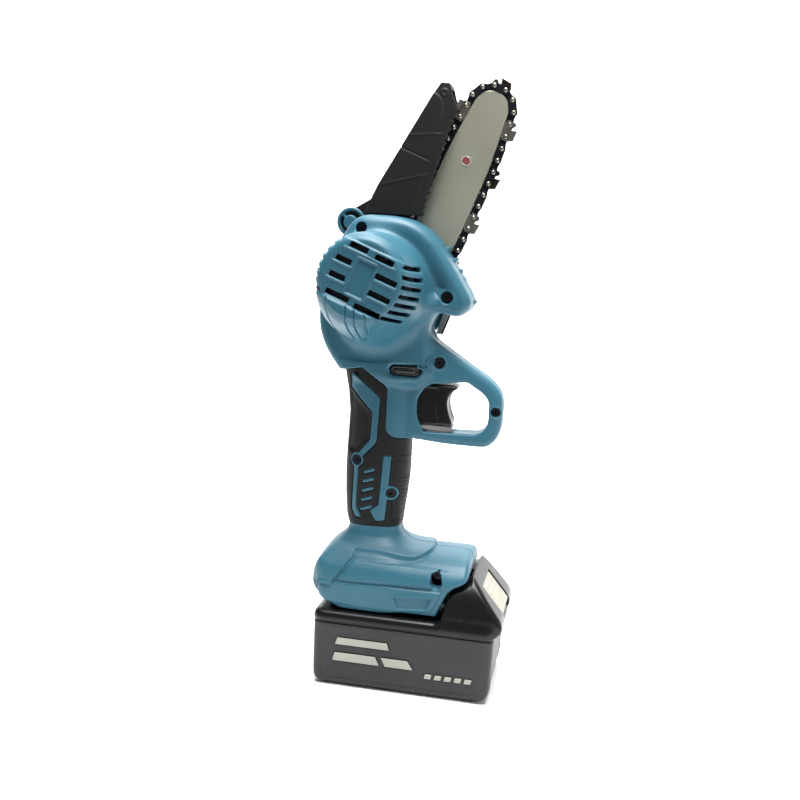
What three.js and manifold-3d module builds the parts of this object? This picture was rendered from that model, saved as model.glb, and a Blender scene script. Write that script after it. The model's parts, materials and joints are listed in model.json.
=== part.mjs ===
// A cordless one-hand chainsaw, built as separate solids in millimetres.
// +X points forward, towards the trigger guard; +Y points to the bar side; +Z is up.
// The origin is the centre of the battery's underside, on which the saw stands.
import * as THREE from "three";
import { mergeVertices } from "three/addons/utils/BufferGeometryUtils.js";
import Module from "manifold-3d";

const wasm = await Module();
wasm.setup();

// ---------- driving dimensions ----------
const GAP = 0.3; // running gap between neighbouring pieces
const WALL = 2.4; // moulded wall
const SPLIT = 0.15; // half the parting gap between the two housing shells

const BATTERY = { back: -58, front: 58, half: 37.5, seam: 43, deck: 50, corner: 5.5 };
const RAIL = { back: -50, web: 21.5, flange: 26, top: 61 };
const BUTTON = { x: 54.6, z: 63.4, tilt: THREE.MathUtils.degToRad(49), half: 16.5 };
const HANDLE = { back: -47.6, front: -5, half: 16, corner: 9, rubber: 1.8 };
const FOOT = { half: 34, top: 91 };
const HEAD_NEAR = -20; // near face of the head
const HEAD_FAR = 11.7; // far face of the head, against the bar

const BAR = { nose: [30.7, 370.8], tilt: THREE.MathUtils.degToRad(21.3), length: 129.2, y: 14.4,
  thick: 3.2 };
const CHAIN = { driveLinks: 23, gauge: 1.1, half: 2.1, above: 2.4, below: 2.2, tang: 3.4 };
const SPROCKET = { teeth: 6, core: 8.4, tip: 11.8, y0: 12.5, y1: 16.3 };
const STUD = { u: 27, radius: 3.7, end: 40 };
const GEAR = { module: 1, pinion: 10, wheel: 30, y0: -7, y1: -1, mesh: THREE.MathUtils.degToRad(137) };
const DRUM = { x: -31, z: 257, shift: 7.5, base: 34.5, face: 24, front: -62, mouth: -19 };
const MOTOR = { radius: 19.5, y0: -57, y1: -15, shaft: 2.4 };
const GUARD = { x: -53.9, z: 297.3, y0: 5.2, y1: 23.2, wall: 1.8, hub: 8 };
const TRIGGER = { half: 8.6 };

// The drive sprocket lies one bar length back from the nose; the motor is one gear pair away.
const sprocketX = BAR.nose[0] - BAR.length * Math.sin(BAR.tilt);
const sprocketZ = BAR.nose[1] - BAR.length * Math.cos(BAR.tilt);
const centres = (GEAR.module * (GEAR.pinion + GEAR.wheel)) / 2 + 0.15;
const motorX = sprocketX + centres * Math.cos(GEAR.mesh);
const motorZ = sprocketZ + centres * Math.sin(GEAR.mesh);

// ---------- materials ----------
const material = (color, roughness, metalness = 0) =>
  new THREE.MeshStandardMaterial({ color, roughness, metalness });
const BLUE = material(0x3f93b0, 0.5);
const RUBBER = material(0x241f1c, 0.85);
const BLACK = material(0x1d1d1e, 0.5);
const GREY = material(0x4a4b50, 0.55);
const BAR_PAINT = material(0xa3a38f, 0.45, 0.3);
const STEEL = material(0x9a9a98, 0.3, 1);
const DARK_STEEL = material(0x33343a, 0.4, 1);
const COPPER = material(0xb8723c, 0.4, 1);
const BRASS = material(0xa08a5c, 0.35, 1);
const CREAM = material(0xd9d6c4, 0.5);
const RED = material(0xa84040, 0.5);
const GREEN = material(0x2f6b45, 0.6);

// ---------- solids ----------
const toSolid = (geometry) => {
  geometry.deleteAttribute("normal");
  geometry.deleteAttribute("uv");
  const merged = mergeVertices(geometry, 1e-4);
  return new wasm.Manifold(
    new wasm.Mesh({
      numProp: 3,
      vertProperties: merged.attributes.position.array,
      triVerts: new Uint32Array(merged.index.array),
    }),
  );
};

const toGeometry = (solid) => {
  const mesh = solid.getMesh();
  const geometry = new THREE.BufferGeometry();
  geometry.setAttribute("position", new THREE.BufferAttribute(mesh.vertProperties, 3));
  geometry.setIndex(new THREE.BufferAttribute(mesh.triVerts, 1));
  geometry.computeVertexNormals();
  return geometry;
};

const join = (...solids) => solids.reduce((a, b) => a.add(b));
const cut = (solid, ...tools) => tools.reduce((a, b) => a.subtract(b), solid);
const meet = (...solids) => solids.reduce((a, b) => a.intersect(b));
const moved = (solid, matrix) => toSolid(toGeometry(solid).applyMatrix4(matrix));

// Corners are [x, y] or [x, y, r]; r rounds that corner, by less than half of each edge beside it.
const outline = (corners) => {
  const n = corners.length;
  return corners.flatMap(([x, y, r], i) => {
    const here = new THREE.Vector2(x, y);
    if (!r) return [here];
    const [a, b] = [corners[(i - 1 + n) % n], corners[(i + 1) % n]].map(([ox, oy]) => {
      const edge = new THREE.Vector2(ox, oy).sub(here);
      return here.clone().add(edge.setLength(Math.min(r, 0.48 * edge.length())));
    });
    return [0, 1 / 3, 2 / 3, 1].map((t) => a.clone().lerp(here, t).lerp(here.clone().lerp(b, t), t));
  });
};

// An outline drawn in one plane and extruded across it, with its faces bevelled if wanted.
const extrude = (corners, depth, bevel = 0) =>
  new THREE.ExtrudeGeometry(new THREE.Shape(outline(corners)), {
    depth: depth - 2 * bevel,
    bevelEnabled: bevel > 0,
    bevelThickness: bevel,
    bevelSize: bevel,
    bevelOffset: -bevel,
    bevelSegments: 1,
    curveSegments: 3,
  });
// Outline in X and Z, extruded along Y.
const prism = (corners, y0, y1, bevel = 0) =>
  toSolid(extrude(corners, y1 - y0, bevel).rotateX(Math.PI / 2).translate(0, y1 - bevel, 0));
// Outline in X and Y, extruded along Z.
const column = (corners, z0, z1, bevel = 0) =>
  toSolid(extrude(corners, z1 - z0, bevel).translate(0, 0, z0 + bevel));
// Outline in Y and Z, extruded along X.
const rail = (corners, x0, x1) =>
  toSolid(extrude(corners, x1 - x0).rotateX(Math.PI / 2).rotateZ(Math.PI / 2).translate(x0, 0, 0));
const block = (x0, x1, y0, y1, z0, z1) =>
  toSolid(
    new THREE.BoxGeometry(x1 - x0, y1 - y0, z1 - z0).translate((x0 + x1) / 2, (y0 + y1) / 2, (z0 + z1) / 2),
  );
const plan = (x0, x1, half, r) => [
  [x0, -half, r], [x1, -half, r], [x1, half, r], [x0, half, r],
];
// A cylinder along Y through (x, z).
const rod = (x, z, y0, y1, r, sides = 16) =>
  toSolid(new THREE.CylinderGeometry(r, r, y1 - y0, sides).translate(x, (y0 + y1) / 2, z));
const ring = (x, z, y0, y1, r, bore, sides = 20) =>
  cut(rod(x, z, y0, y1, r, sides), rod(x, z, y0 - 1, y1 + 1, bore, sides));
// A turned piece: [radius, y] pairs that start and end on the axis, revolved about a line along Y.
const turned = (profile, x, z, sides = 24) =>
  toSolid(
    new THREE.LatheGeometry(profile.map(([r, y]) => new THREE.Vector2(r, y)), sides).translate(x, 0, z),
  );

class Helix extends THREE.Curve {
  constructor(radius, length, turns) {
    super();
    Object.assign(this, { radius, length, turns });
  }
  getPoint(t) {
    const a = 2 * Math.PI * this.turns * t;
    return new THREE.Vector3(this.radius * Math.cos(a), this.radius * Math.sin(a), this.length * t);
  }
}
const wire = (curve, radius, steps, sides = 5) => {
  const section = new THREE.Shape(
    Array.from({ length: sides }, (_, i) => {
      const a = (2 * Math.PI * i) / sides;
      return new THREE.Vector2(radius * Math.cos(a), radius * Math.sin(a));
    }),
  );
  return toSolid(new THREE.ExtrudeGeometry(section, { steps, extrudePath: curve }));
};
// A coil spring along Z from the origin.
const coil = (radius, length, turns, thickness) =>
  wire(new Helix(radius, length, turns), thickness, turns * 9);

const nearHalf = (solid) => meet(solid, block(-200, 200, -200, -SPLIT, -10, 500));
const farHalf = (solid) => meet(solid, block(-200, 200, SPLIT, 200, -10, 500));

const saw = new THREE.Group();
const add = (name, solid, look, group = saw) => {
  const mesh = new THREE.Mesh(toGeometry(solid), look);
  mesh.name = name;
  group.add(mesh);
};

// ---------- housing: outlines in the side plane ----------
const HEAD = [
  [-67.5, 230, 10], [-67.5, 262, 12], [-54, 288, 4], [-45, 302, 7], [-14, 302.5, 8], [3, 293, 4],
  [31.5, 251, 5], [24, 242, 4], [8, 245, 3], [3.5, 234], [6, 205], [-2, 198], [-51, 202, 5], [-62, 216, 6],
];
const HEAD_INSIDE = [
  [-64, 232, 8], [-64, 261, 10], [-50, 287, 4], [-34, 288], [-34, 299, 3], [-15, 299, 6], [1, 290, 3],
  [8, 262], [6, 248], [0, 236], [-1, 216], [-9.5, 213], [-9.5, 200], [-48, 205], [-60, 218, 4],
];
const LOOP_OUTSIDE = [
  [4, 231], [8, 226, 3], [46, 202, 6], [53, 194, 5], [53, 166, 8], [46, 159.5, 7], [-6, 160], [-6, 205],
];
const LOOP_INSIDE = [
  [29.5, 201, 1.5], [41, 194, 3], [44.2, 189, 2], [44.2, 173.5, 3], [39, 168.6, 3], [3.5, 167],
  [-1.2, 181, 3],
  [-1.2, 189, 3], [3, 196, 2], [9, 198.6, 1],
];
const handleSide = (inset) => [
  [HANDLE.back + 1 + inset, 88], [HANDLE.back + inset, 130], [HANDLE.back + inset, 180, 8],
  [-51 + inset, 202], [-37, 209], [-8 - inset, 209], [HANDLE.front - inset, 162],
  [HANDLE.front - inset, 130, 8],
  [-8.5 - inset, 106], [-8.5 - inset, 88],
];
const handleBody = (inset) =>
  meet(
    prism(handleSide(inset), -HANDLE.half + inset, HANDLE.half - inset),
    column(plan(-51 + inset, HANDLE.front - inset, HANDLE.half - inset, HANDLE.corner), 80, 210),
  );
const gripArea = (grow) => [
  [-70, 103.5 - grow], [-70, 203.5 + grow], [-49, 203.5 + grow], [-36.5, 206.5 + grow],
  [-20.2 + grow, 195 + grow],
  [-20.2 + grow, 165 + grow, 3], [-12, 162.2 + grow], [-4, 162.2 + grow], [-4, 103.5 - grow],
];
const FOOT_SIDE = [
  [-45, 53], [-58.5, 59, 4], [-62.5, 68, 4], [-58, 81, 6], [-46, FOOT.top, 7], [34, FOOT.top, 5],
  [41.3, 84, 3],
  [41.3, 77.6, 1], [29.2, 71, 2], [21.6, 53],
];
const footPlan = [
  [-63, -FOOT.half, 20], [41.3, -FOOT.half, 7], [41.3, FOOT.half, 7], [-63, FOOT.half, 20],
];
const FOOT_END = [
  [-FOOT.half, 50], [-FOOT.half, 71, 4], [-30, 82, 5], [-15, FOOT.top, 4], [15, FOOT.top, 4], [30, 82, 5],
  [FOOT.half, 71, 4], [FOOT.half, 50],
];

// Seven housing screws: place in the side plane and the depth of the counterbore floor.
const SCREWS = {
  head_rear: { x: -40.5, z: 293.8, floor: -15.5 },
  head_nose: { x: 15, z: 254.2, floor: -15.5 },
  trigger: { x: 11.5, z: 212.5, floor: -8.5 },
  loop: { x: 48.7, z: 183.5, floor: -5 },
  handle_rear: { x: -38, z: 146.5, floor: -11.5 },
  handle_front: { x: -14.6, z: 126, floor: -11.5 },
  foot: { x: 20.5, z: 78.5, floor: -22 },
};
const SCREW = { shank: 1.5, head: 3, length: 6, boss: 4.4 };
const screwList = Object.values(SCREWS);
const nearScrewBore = ({ x, z, floor }) =>
  join(rod(x, z, -40, 1, SCREW.shank + GAP, 8), rod(x, z, -40, floor, SCREW.head + 0.4, 12));
const farScrewBore = ({ x, z }) => rod(x, z, -1, SCREW.length + 1, SCREW.shank + GAP, 8);

const motorOpening = rod(motorX, motorZ, -60, -10, 25, 28);
const handleInside = meet(
  block(-42.5, -10, -11, 11, 70, 212),
  prism(handleSide(4.6), -20, 20).add(block(-42.5, -10.5, -11, 11, 60, 110)),
);
const triggerPocket = block(-16, 12, -TRIGGER.half - 0.5, TRIGGER.half + 0.5, 167.6, 198.8);
const footInside = join(
  block(-57, 60, -28.6, 28.6, 56.2, 71),
  block(-49, 26, -24, 24, 70, 80),
  block(-60, 60, -RAIL.web - 0.6, RAIL.web + 0.6, 40, 57),
);
const lockSlot = (grow) => {
  const [x0, x1, z0, z1] = [-18.6 - grow, 0.2 + grow, 203.6 - grow, 209.8 + grow];
  return [[x0, z0, 2.6], [x1, z0, 2.6], [x1, z1, 2.6], [x0, z1, 2.6]];
};
const boss = (y0, y1) => ({ x, z }) => rod(x, z, y0, y1, SCREW.boss, 10);

const housing = (headDepth) =>
  join(
    cut(
      join(prism(HEAD, -headDepth, headDepth, 2), handleBody(0), prism(LOOP_OUTSIDE, -9, 9, 1.5)),
      prism(gripArea(GAP), -30, 30),
    ),
    handleBody(HANDLE.rubber + GAP),
    meet(prism(FOOT_SIDE, -40, 40), rail(FOOT_END, -80, 60),
      column(footPlan, 40, 100)),
    column(plan(-51, -4, 17.5, 9), 84, 98, 3),
  );
const footCatch = block(28, 46, -9, 9, 60, 80);

// ---------- motor drum, moulded in one with the near shell ----------
// The drum leans up towards the motor as it comes out from the head.
const lean = new THREE.Matrix4().set(
  1, (DRUM.x - motorX) / (HEAD_NEAR - DRUM.front), 0, 0,
  0, 1, 0, 0,
  0, -DRUM.shift / (HEAD_NEAR - DRUM.front), 1, 0,
  0, 0, 0, 1,
);
// A solid of the drum's shape, this far inside its skin, from its front to the given mouth.
const drum = (inset, mouth) => {
  const profile = [
    [0, DRUM.front + inset], [DRUM.face - inset, DRUM.front + inset],
    [DRUM.face + 3 - inset, DRUM.front + 3 + inset / 2], [30.5 - inset, -50],
    [DRUM.base - 1 - inset, -34], [DRUM.base - inset, mouth], [0, mouth],
  ];
  return [
    new THREE.Matrix4().makeTranslation(0, -HEAD_NEAR, 0), lean,
    new THREE.Matrix4().makeTranslation(DRUM.x, HEAD_NEAR, DRUM.z),
  ].reduce(moved, turned(profile, 0, 0, 32));
};
// A cut made in the drum's own plane, where x runs along the slot rows and z across them.
const drumCut = (x0, x1, y0, y1, z, height) => {
  const turn = new THREE.Matrix4().makeRotationY(BAR.tilt);
  turn.setPosition(DRUM.x, 0, DRUM.z + DRUM.shift);
  return moved(block(x0, x1, y0, y1, z - height / 2, z + height / 2), turn);
};
const faceSlots = [
  [-13.5, -1.9, 16.3], [3.1, 14.9, 15.6], [-18.3, -8.3, 6.2], [8, 20.5, 5.6],
  [-18.3, -8.2, -4], [8, 20.5, -5], [-16, -1.8, -14.6], [3.2, 16.6, -15.5],
].map(([x0, x1, z]) => drumCut(x0, x1, -70, -58.5, z, 3.2));
const flankSlots = Array.from({ length: 7 }, (_, i) => 16.2 - 5.3 * i).flatMap((z) => [
  drumCut(19, 40, -56, -42, z, 2.2),
  drumCut(-40, -19, -56, -42, z, 2.2),
]);

const nearShell = cut(
  join(
    cut(
      join(
        cut(nearHalf(housing(-HEAD_NEAR)), prism(HEAD_INSIDE, HEAD_NEAR + 3, 5)),
        ...screwList.slice(0, 2).map(boss(-18, -SPLIT)),
      ),
      handleInside,
      footInside,
      triggerPocket,
      ...screwList.slice(0, 2).map(nearScrewBore),
    ),
    drum(0, DRUM.mouth),
    ...screwList.slice(2, 4).map(boss(-7, -SPLIT)),
    ...screwList.slice(4, 6).map(boss(-15.4, -SPLIT)),
    rod(SCREWS.foot.x, SCREWS.foot.z, -26, -SPLIT, SCREW.boss, 10),
  ),
  drum(WALL, HEAD_NEAR + 4),
  motorOpening,
  ...screwList.slice(2).map(nearScrewBore),
  ...faceSlots,
  ...flankSlots,
  prism(LOOP_INSIDE, -20, 20),
  triggerPocket,
  footCatch,
  prism(lockSlot(0.35), -30, 30),
);
add("housing_near", nearShell, BLUE);

// Ribs that bite the branch, down the leading edge of the far shell.
const bumperRibs = Array.from({ length: 6 }, (_, i) => {
  const t = i / 5;
  const [x, z] = [11 + 16 * t, 283 - 24 * t];
  return prism([[x - 4, z - 3], [x + 2.6, z + 1.2], [x + 3.2, z - 0.4], [x - 3, z - 4.6]], 3, 11);
});
const pivotRecess = rod(GUARD.x, GUARD.z, GUARD.y0, 20, 10.4, 20);
const outputBearingSeat = ring(sprocketX, sprocketZ, 2, HEAD_FAR - 1, 13.5, 10, 24);
const guardSweep = prism([[-64, 303], [20, 303], [20, 340], [-64, 340]], 4, 30);
const farShell = cut(
  join(
    cut(farHalf(housing(HEAD_FAR)), prism(HEAD_INSIDE, -5, HEAD_FAR - 3), handleInside, footInside,
      triggerPocket),
    ...bumperRibs,
    outputBearingSeat,
    ...screwList.slice(0, 4).map(boss(SPLIT, 8)),
    ...screwList.slice(4, 6).map(boss(SPLIT, 12)),
    rod(SCREWS.foot.x, SCREWS.foot.z, SPLIT, 26, SCREW.boss, 10),
    rod(sprocketX + STUD.u * Math.sin(BAR.tilt), sprocketZ + STUD.u * Math.cos(BAR.tilt), 3, 11, 8, 16),
  ),
  ...screwList.map(farScrewBore),
  rod(sprocketX, sprocketZ, 0, 4.4, 11.3, 24),
  rod(sprocketX, sprocketZ, 0, 20, 10, 24),
  rod(sprocketX + STUD.u * Math.sin(BAR.tilt), sprocketZ + STUD.u * Math.cos(BAR.tilt), 5, 20,
    STUD.radius + GAP, 16),
  pivotRecess,
  guardSweep,
  prism(LOOP_INSIDE, -20, 20),
  triggerPocket,
  footCatch,
  prism(lockSlot(0.35), -30, 30),
);
add("housing_far", farShell, BLUE);

// ---------- soft grip ----------
const gripSleeve = cut(
  meet(handleBody(0), prism(gripArea(0), -30, 30)),
  handleBody(HANDLE.rubber),
  ...[SCREWS.handle_rear, SCREWS.handle_front].map(({ x, z }) => rod(x, z, -30, 0, SCREW.boss + GAP, 12)),
);
add("grip_near", nearHalf(gripSleeve), RUBBER);
add("grip_far", farHalf(gripSleeve), RUBBER);

// ---------- housing screws ----------
for (const [name, { x, z, floor }] of Object.entries(SCREWS)) {
  const head = cut(rod(x, z, floor - 2.2, floor, SCREW.head, 12),
    rod(x, z, floor - 3, floor - 1.1, 1.3, 6));
  add(`screw_${name}`, join(head, rod(x, z, floor - 0.1, SCREW.length, SCREW.shank, 8)), DARK_STEEL);
}

// ---------- motor and gears ----------
const shaftBore = MOTOR.shaft + GAP;
const can = cut(
  rod(motorX, motorZ, MOTOR.y0, MOTOR.y1, MOTOR.radius, 24),
  rod(motorX, motorZ, MOTOR.y0 + 2, MOTOR.y1 - 2, MOTOR.radius - 1.6, 24),
  rod(motorX, motorZ, MOTOR.y0 - 1, MOTOR.y0 + 3, 5.3, 16),
  rod(motorX, motorZ, MOTOR.y1 - 3, MOTOR.y1 + 1, 8.3, 16),
);
add("motor_can", can, DARK_STEEL);
const magnet = cut(rod(motorX, motorZ, MOTOR.y0 + 7, MOTOR.y1 - 9, MOTOR.radius - 1.9, 24),
  rod(motorX, motorZ, -60, 0, 13.6, 24));
const magnetSide = (low) =>
  meet(magnet, low ? block(-100, 100, -60, 0, 0, motorZ - 5) : block(-100, 100, -60, 0, motorZ + 5, 400));
add("motor_magnet_lower", magnetSide(true), DARK_STEEL);
add("motor_magnet_upper", magnetSide(false), DARK_STEEL);
add("motor_bearing_rear", ring(motorX, motorZ, MOTOR.y0 - 0.7, MOTOR.y0 + 2.6, 5, shaftBore, 16), STEEL);
add("motor_bearing_front", ring(motorX, motorZ, MOTOR.y1 - 3.2, MOTOR.y1 + 0.6, 8, shaftBore, 16), STEEL);
const poles = Array.from({ length: 6 }, (_, i) => {
  const turn = new THREE.Matrix4().makeRotationY((i * Math.PI) / 3).setPosition(motorX, 0, motorZ);
  return moved(block(10, 14, MOTOR.y0 + 10, MOTOR.y1 - 10, -1.2, 1.2), turn);
});
add(
  "rotor_core",
  cut(rod(motorX, motorZ, MOTOR.y0 + 9, MOTOR.y1 - 9, 13, 24),
    rod(motorX, motorZ, -60, 0, shaftBore, 12), ...poles),
  COPPER,
);
add("rotor_shaft", rod(motorX, motorZ, MOTOR.y0 - 1.5, GEAR.y1 + 1, MOTOR.shaft, 12), STEEL);
const blades = Array.from({ length: 9 }, (_, i) => {
  const turn = new THREE.Matrix4().makeRotationY((i * 2 * Math.PI) / 9).setPosition(motorX, 0, motorZ);
  return moved(block(5, 15.5, MOTOR.y1 - 8.6, MOTOR.y1 - 4.4, -0.6, 0.6), turn);
});
add(
  "motor_fan",
  join(cut(join(rod(motorX, motorZ, MOTOR.y1 - 8.6, MOTOR.y1 - 7.4, 15.5, 20),
    rod(motorX, motorZ, MOTOR.y1 - 8.6, MOTOR.y1 - 4, 5.5, 16)),
    rod(motorX, motorZ, -60, 0, shaftBore, 12)),
    ...blades),
  BLACK,
);

// A spur gear with trapezoid teeth, thinned to leave backlash; turn is the angle of its first tooth.
const spur = (x, z, teeth, y0, y1, turn, bore) => {
  const pitchRadius = (GEAR.module * teeth) / 2;
  const flank = (radius, halfWidth) => [radius, halfWidth / radius];
  const profile = [
    flank(pitchRadius - 1.25, 1.12), flank(pitchRadius, 0.64), flank(pitchRadius + 0.8, 0.26),
  ];
  const side = [...profile.map(([r, a]) => [r, -a]), ...profile.toReversed()];
  const corners = Array.from({ length: teeth }, (_, i) =>
    side.map(([r, a]) => {
      const angle = turn + (2 * Math.PI * i) / teeth + a;
      return [x + r * Math.cos(angle), z + r * Math.sin(angle)];
    }),
  ).flat();
  return cut(prism(corners, y0, y1), rod(x, z, y0 - 1, y1 + 1, bore, 12));
};
add("rotor_pinion", spur(motorX, motorZ, GEAR.pinion, GEAR.y0 - 1, GEAR.y1 + 0.5, GEAR.mesh + Math.PI,
  shaftBore), STEEL);
const halfTooth = Math.PI / GEAR.wheel;
add("output_gear", spur(sprocketX, sprocketZ, GEAR.wheel, GEAR.y0, GEAR.y1, GEAR.mesh + halfTooth, 4.3),
  STEEL);
const shaftStep = [[0, -13], [4, -13], [4, 0], [4, 18.6], [3, 19.2], [0, 19.2]];
add("output_shaft", turned(shaftStep, sprocketX, sprocketZ, 16), STEEL);
const plateShape = [
  [sprocketX + 16, sprocketZ - 8, 6], [sprocketX + 16, sprocketZ + 16, 6], [motorX + 14, motorZ + 16, 6],
  [motorX - 16, motorZ + 12, 6], [motorX - 16, motorZ - 12, 6], [sprocketX - 10, sprocketZ - 16, 6],
  [sprocketX + 8, sprocketZ - 16, 6],
];
add(
  "gear_plate",
  cut(prism(plateShape, -12, -9), rod(motorX, motorZ, -15, 0, 8, 16),
    rod(sprocketX, sprocketZ, -15, 0, 4 + GAP, 16)),
  STEEL,
);
add("output_bearing", ring(sprocketX, sprocketZ, 4.7, 9.7, 9.7, 4 + GAP, 20), STEEL);

// ---------- bar, chain and drive sprocket: a frame at the sprocket with Z along the bar ----------
const barFrame = new THREE.Group();
barFrame.position.set(sprocketX, 0, sprocketZ);
barFrame.rotation.y = BAR.tilt;
saw.add(barFrame);
const barY0 = BAR.y - BAR.thick / 2;
const barY1 = BAR.y + BAR.thick / 2;
const L = BAR.length;
// Half width of the bar at each distance from the sprocket; the rivets run outside it.
const barSide = [[12, 18.6], [13.4, 24], [14.4, 34], [15, 48], [15.1, 64], [15, 80], [14.8, 94],
  [13.7, 108], [12.4, 120]];
const arc = (cz, r, from, to, steps) =>
  Array.from({ length: steps + 1 }, (_, i) => {
    const a = from + ((to - from) * i) / steps;
    return [r * Math.cos(a), cz + r * Math.sin(a)];
  });
const mirrored = (side) => side.map(([x, z]) => [-x, z]).toReversed();
const barOutline = (inset) => {
  const side = barSide.map(([x, z], i) => [x - inset, i ? z : z + inset]);
  return [...side, ...arc(L, 11.4 - inset, 0.1, Math.PI - 0.1, 10), ...mirrored(side)];
};
const rivetLine = (offset) => {
  const side = barSide.slice(1).map(([x, z]) => [x + 3.2 + offset, z]);
  return [
    ...arc(0, 14.72 + offset, -Math.PI, 0, 14), ...side,
      ...arc(L, 14.6 + offset, 0.05, Math.PI - 0.05, 12), ...mirrored(side),
  ];
};
const barSlot = block(-STUD.radius - 0.4, STUD.radius + 0.4, 0, 30, 10, STUD.u + 9);
const guideBar = cut(
  prism(barOutline(0), barY0, barY1),
  prism(barOutline(-2), BAR.y - 0.7, BAR.y + 0.7).subtract(prism(barOutline(5.2), BAR.y - 2, BAR.y + 2)),
  rod(0, L, BAR.y - 0.7, BAR.y + 0.7, 9.2, 24),
  rod(0, L, 0, 30, 2.8, 12),
  rod(-0.8, L - 34.5, 0, 30, 2.8, 16),
  barSlot,
  rod(0, STUD.u + 14, 0, 30, 1.7, 12),
);
add("guide_bar", guideBar, BAR_PAINT, barFrame);
add("nose_axle", rod(0, L, barY0 + 0.1, barY1 - 0.1, 2.5, 12), BAR_PAINT, barFrame);
add("nose_rivet", rod(-0.8, L - 34.5, barY0 - 0.2, barY1 + 0.2, 2.5, 16), RED, barFrame);
add("tension_peg", rod(0, STUD.u + 14, HEAD_FAR + 0.4, barY1, 1.4, 12), STEEL, barFrame);

const toothed = (z, teeth, core, tip, y0, y1, width, first) => {
  const spokes = Array.from({ length: teeth }, (_, i) => {
    const turn = new THREE.Matrix4().makeRotationY(first + (i * 2 * Math.PI) / teeth).setPosition(0, 0, z);
    return moved(block(0, tip, y0, y1, -width / 2, width / 2), turn);
  });
  return join(rod(0, z, y0, y1, core, 20), ...spokes);
};
add("nose_sprocket", cut(toothed(L, 9, 6.4, 8.7, BAR.y - 0.4, BAR.y + 0.4, 2, 0.1),
  rod(0, L, 0, 30, 2.8, 12)), STEEL, barFrame);
add(
  "drive_sprocket",
  cut(
    toothed(0, SPROCKET.teeth, SPROCKET.core, SPROCKET.tip, SPROCKET.y0, SPROCKET.y1, 3.6, 0),
    rod(0, 0, 0, 30, 4 + GAP, 16),
  ),
  DARK_STEEL,
  barFrame,
);
add("sprocket_clip", cut(ring(0, 0, 16.7, 17.7, 6, 4 + GAP, 16), block(-1, 1, 0, 30, 2, 8)), STEEL,
  barFrame);

// The chain: a closed band of links around the rivet line, with drive tangs inside and cutters outside.
const loop = rivetLine(0).map(([x, z]) => new THREE.Vector2(x, z));
loop.push(loop[0].clone());
const stations = loop.slice(1).map((p, i) => p.distanceTo(loop[i]));
const loopLength = stations.reduce((a, b) => a + b);
const onLoop = (distance) => {
  let left = ((distance % loopLength) + loopLength) % loopLength;
  let i = 0;
  while (left > stations[i]) left -= stations[i++];
  const step = loop[i + 1].clone().sub(loop[i]).normalize();
  return { at: loop[i].clone().addScaledVector(step, left), angle: Math.atan2(step.y, step.x) };
};
const linkPitch = loopLength / (2 * CHAIN.driveLinks);
// A link outline in the loop's own frame: x runs along the chain and z outwards.
const onChain = (corners, distance, y0, y1) => {
  const { at, angle } = onLoop(distance);
  const placed = corners.map(([x, z]) => [
    at.x + x * Math.cos(angle) + z * Math.sin(angle),
    at.y + x * Math.sin(angle) - z * Math.cos(angle),
  ]);
  return prism(placed, y0, y1);
};
const TANG = [[-2.6, 0], [-2, -CHAIN.below - CHAIN.tang], [1, -CHAIN.below - CHAIN.tang], [2.6, 0]];
const CUTTER = [[-5, 1], [-4.6, 5], [0.9, 5.6], [1.4, 3], [3.4, 3], [4.6, 4.6], [6, 1]];
const quarter = (Math.PI * 14.72) / 2;
const tangs = Array.from({ length: CHAIN.driveLinks }, (_, i) =>
  onChain(TANG, quarter + 2 * i * linkPitch, BAR.y - CHAIN.gauge / 2, BAR.y + CHAIN.gauge / 2),
);
const cutters = Array.from({ length: 11 }, (_, i) => {
  const side = i % 2 ? 1 : -1;
  return onChain(CUTTER, quarter + (4 * i + 3) * linkPitch, BAR.y + side * 1.2 - 1, BAR.y + side * 1.2 + 1);
});
add(
  "saw_chain",
  join(
    prism(rivetLine(CHAIN.above), BAR.y - CHAIN.half,
      BAR.y + CHAIN.half).subtract(prism(rivetLine(-CHAIN.below), 0, 30)),
    ...tangs,
    ...cutters,
  ),
  DARK_STEEL,
  barFrame,
);

// ---------- bar clamp and sprocket cover ----------
const studX = sprocketX + STUD.u * Math.sin(BAR.tilt);
const studZ = sprocketZ + STUD.u * Math.cos(BAR.tilt);
add("bar_stud", rod(studX, studZ, 5.4, STUD.end, STUD.radius, 16), STEEL);
const COVER = [
  [-58, 250, 8], [-56, 270, 6], [-44, 289, 5], [2, 296, 4], [13, 278, 3], [11.5, 256], [12, 246, 4],
  [6, 231, 6],
  [-10, 223, 8], [-40, 223, 8], [-56, 234, 8],
];
const chainWay = (() => {
  const turn = new THREE.Matrix4().makeRotationY(BAR.tilt).setPosition(sprocketX, 0, sprocketZ);
  return join(rod(sprocketX, sprocketZ, 5, 30, 23.4, 28), moved(block(-26, 34, 5, 30, 4, 80), turn));
})();
const stayOpen = prism([[-66, 281], [-36, 281], [-36, 320], [-66, 320]], 5, 25);
add(
  "sprocket_cover",
  cut(
    join(
      cut(prism(COVER, HEAD_FAR + GAP, 33, 1.5), chainWay, block(-54, -20, 10, 30, 238, 262), stayOpen),
      rod(studX, studZ, barY1 + GAP, 31, 8, 16),
      ...[0, 1, 2].map((i) => prism([[-50 + 9 * i, 234], [-47 + 9 * i, 234], [-41 + 9 * i, 262],
        [-44 + 9 * i, 262]], 32, 34)),
    ),
    rod(studX, studZ, 0, 50, STUD.radius + GAP, 16),
    rod(-51.5, 230, 10, 50, 3.2, 12),
  ),
  BLUE,
);
const lobes = Array.from({ length: 6 }, (_, i) => {
  const a = (i * Math.PI) / 3;
  return rod(studX + 8.2 * Math.cos(a), studZ + 8.2 * Math.sin(a), 34.6, 44, 2.6, 10);
});
add(
  "bar_nut",
  cut(join(rod(studX, studZ, 34.3, 44, 8.6, 20), ...lobes),
    rod(studX, studZ, 30, 41.5, STUD.radius + GAP, 16)),
  BLACK,
);
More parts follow.
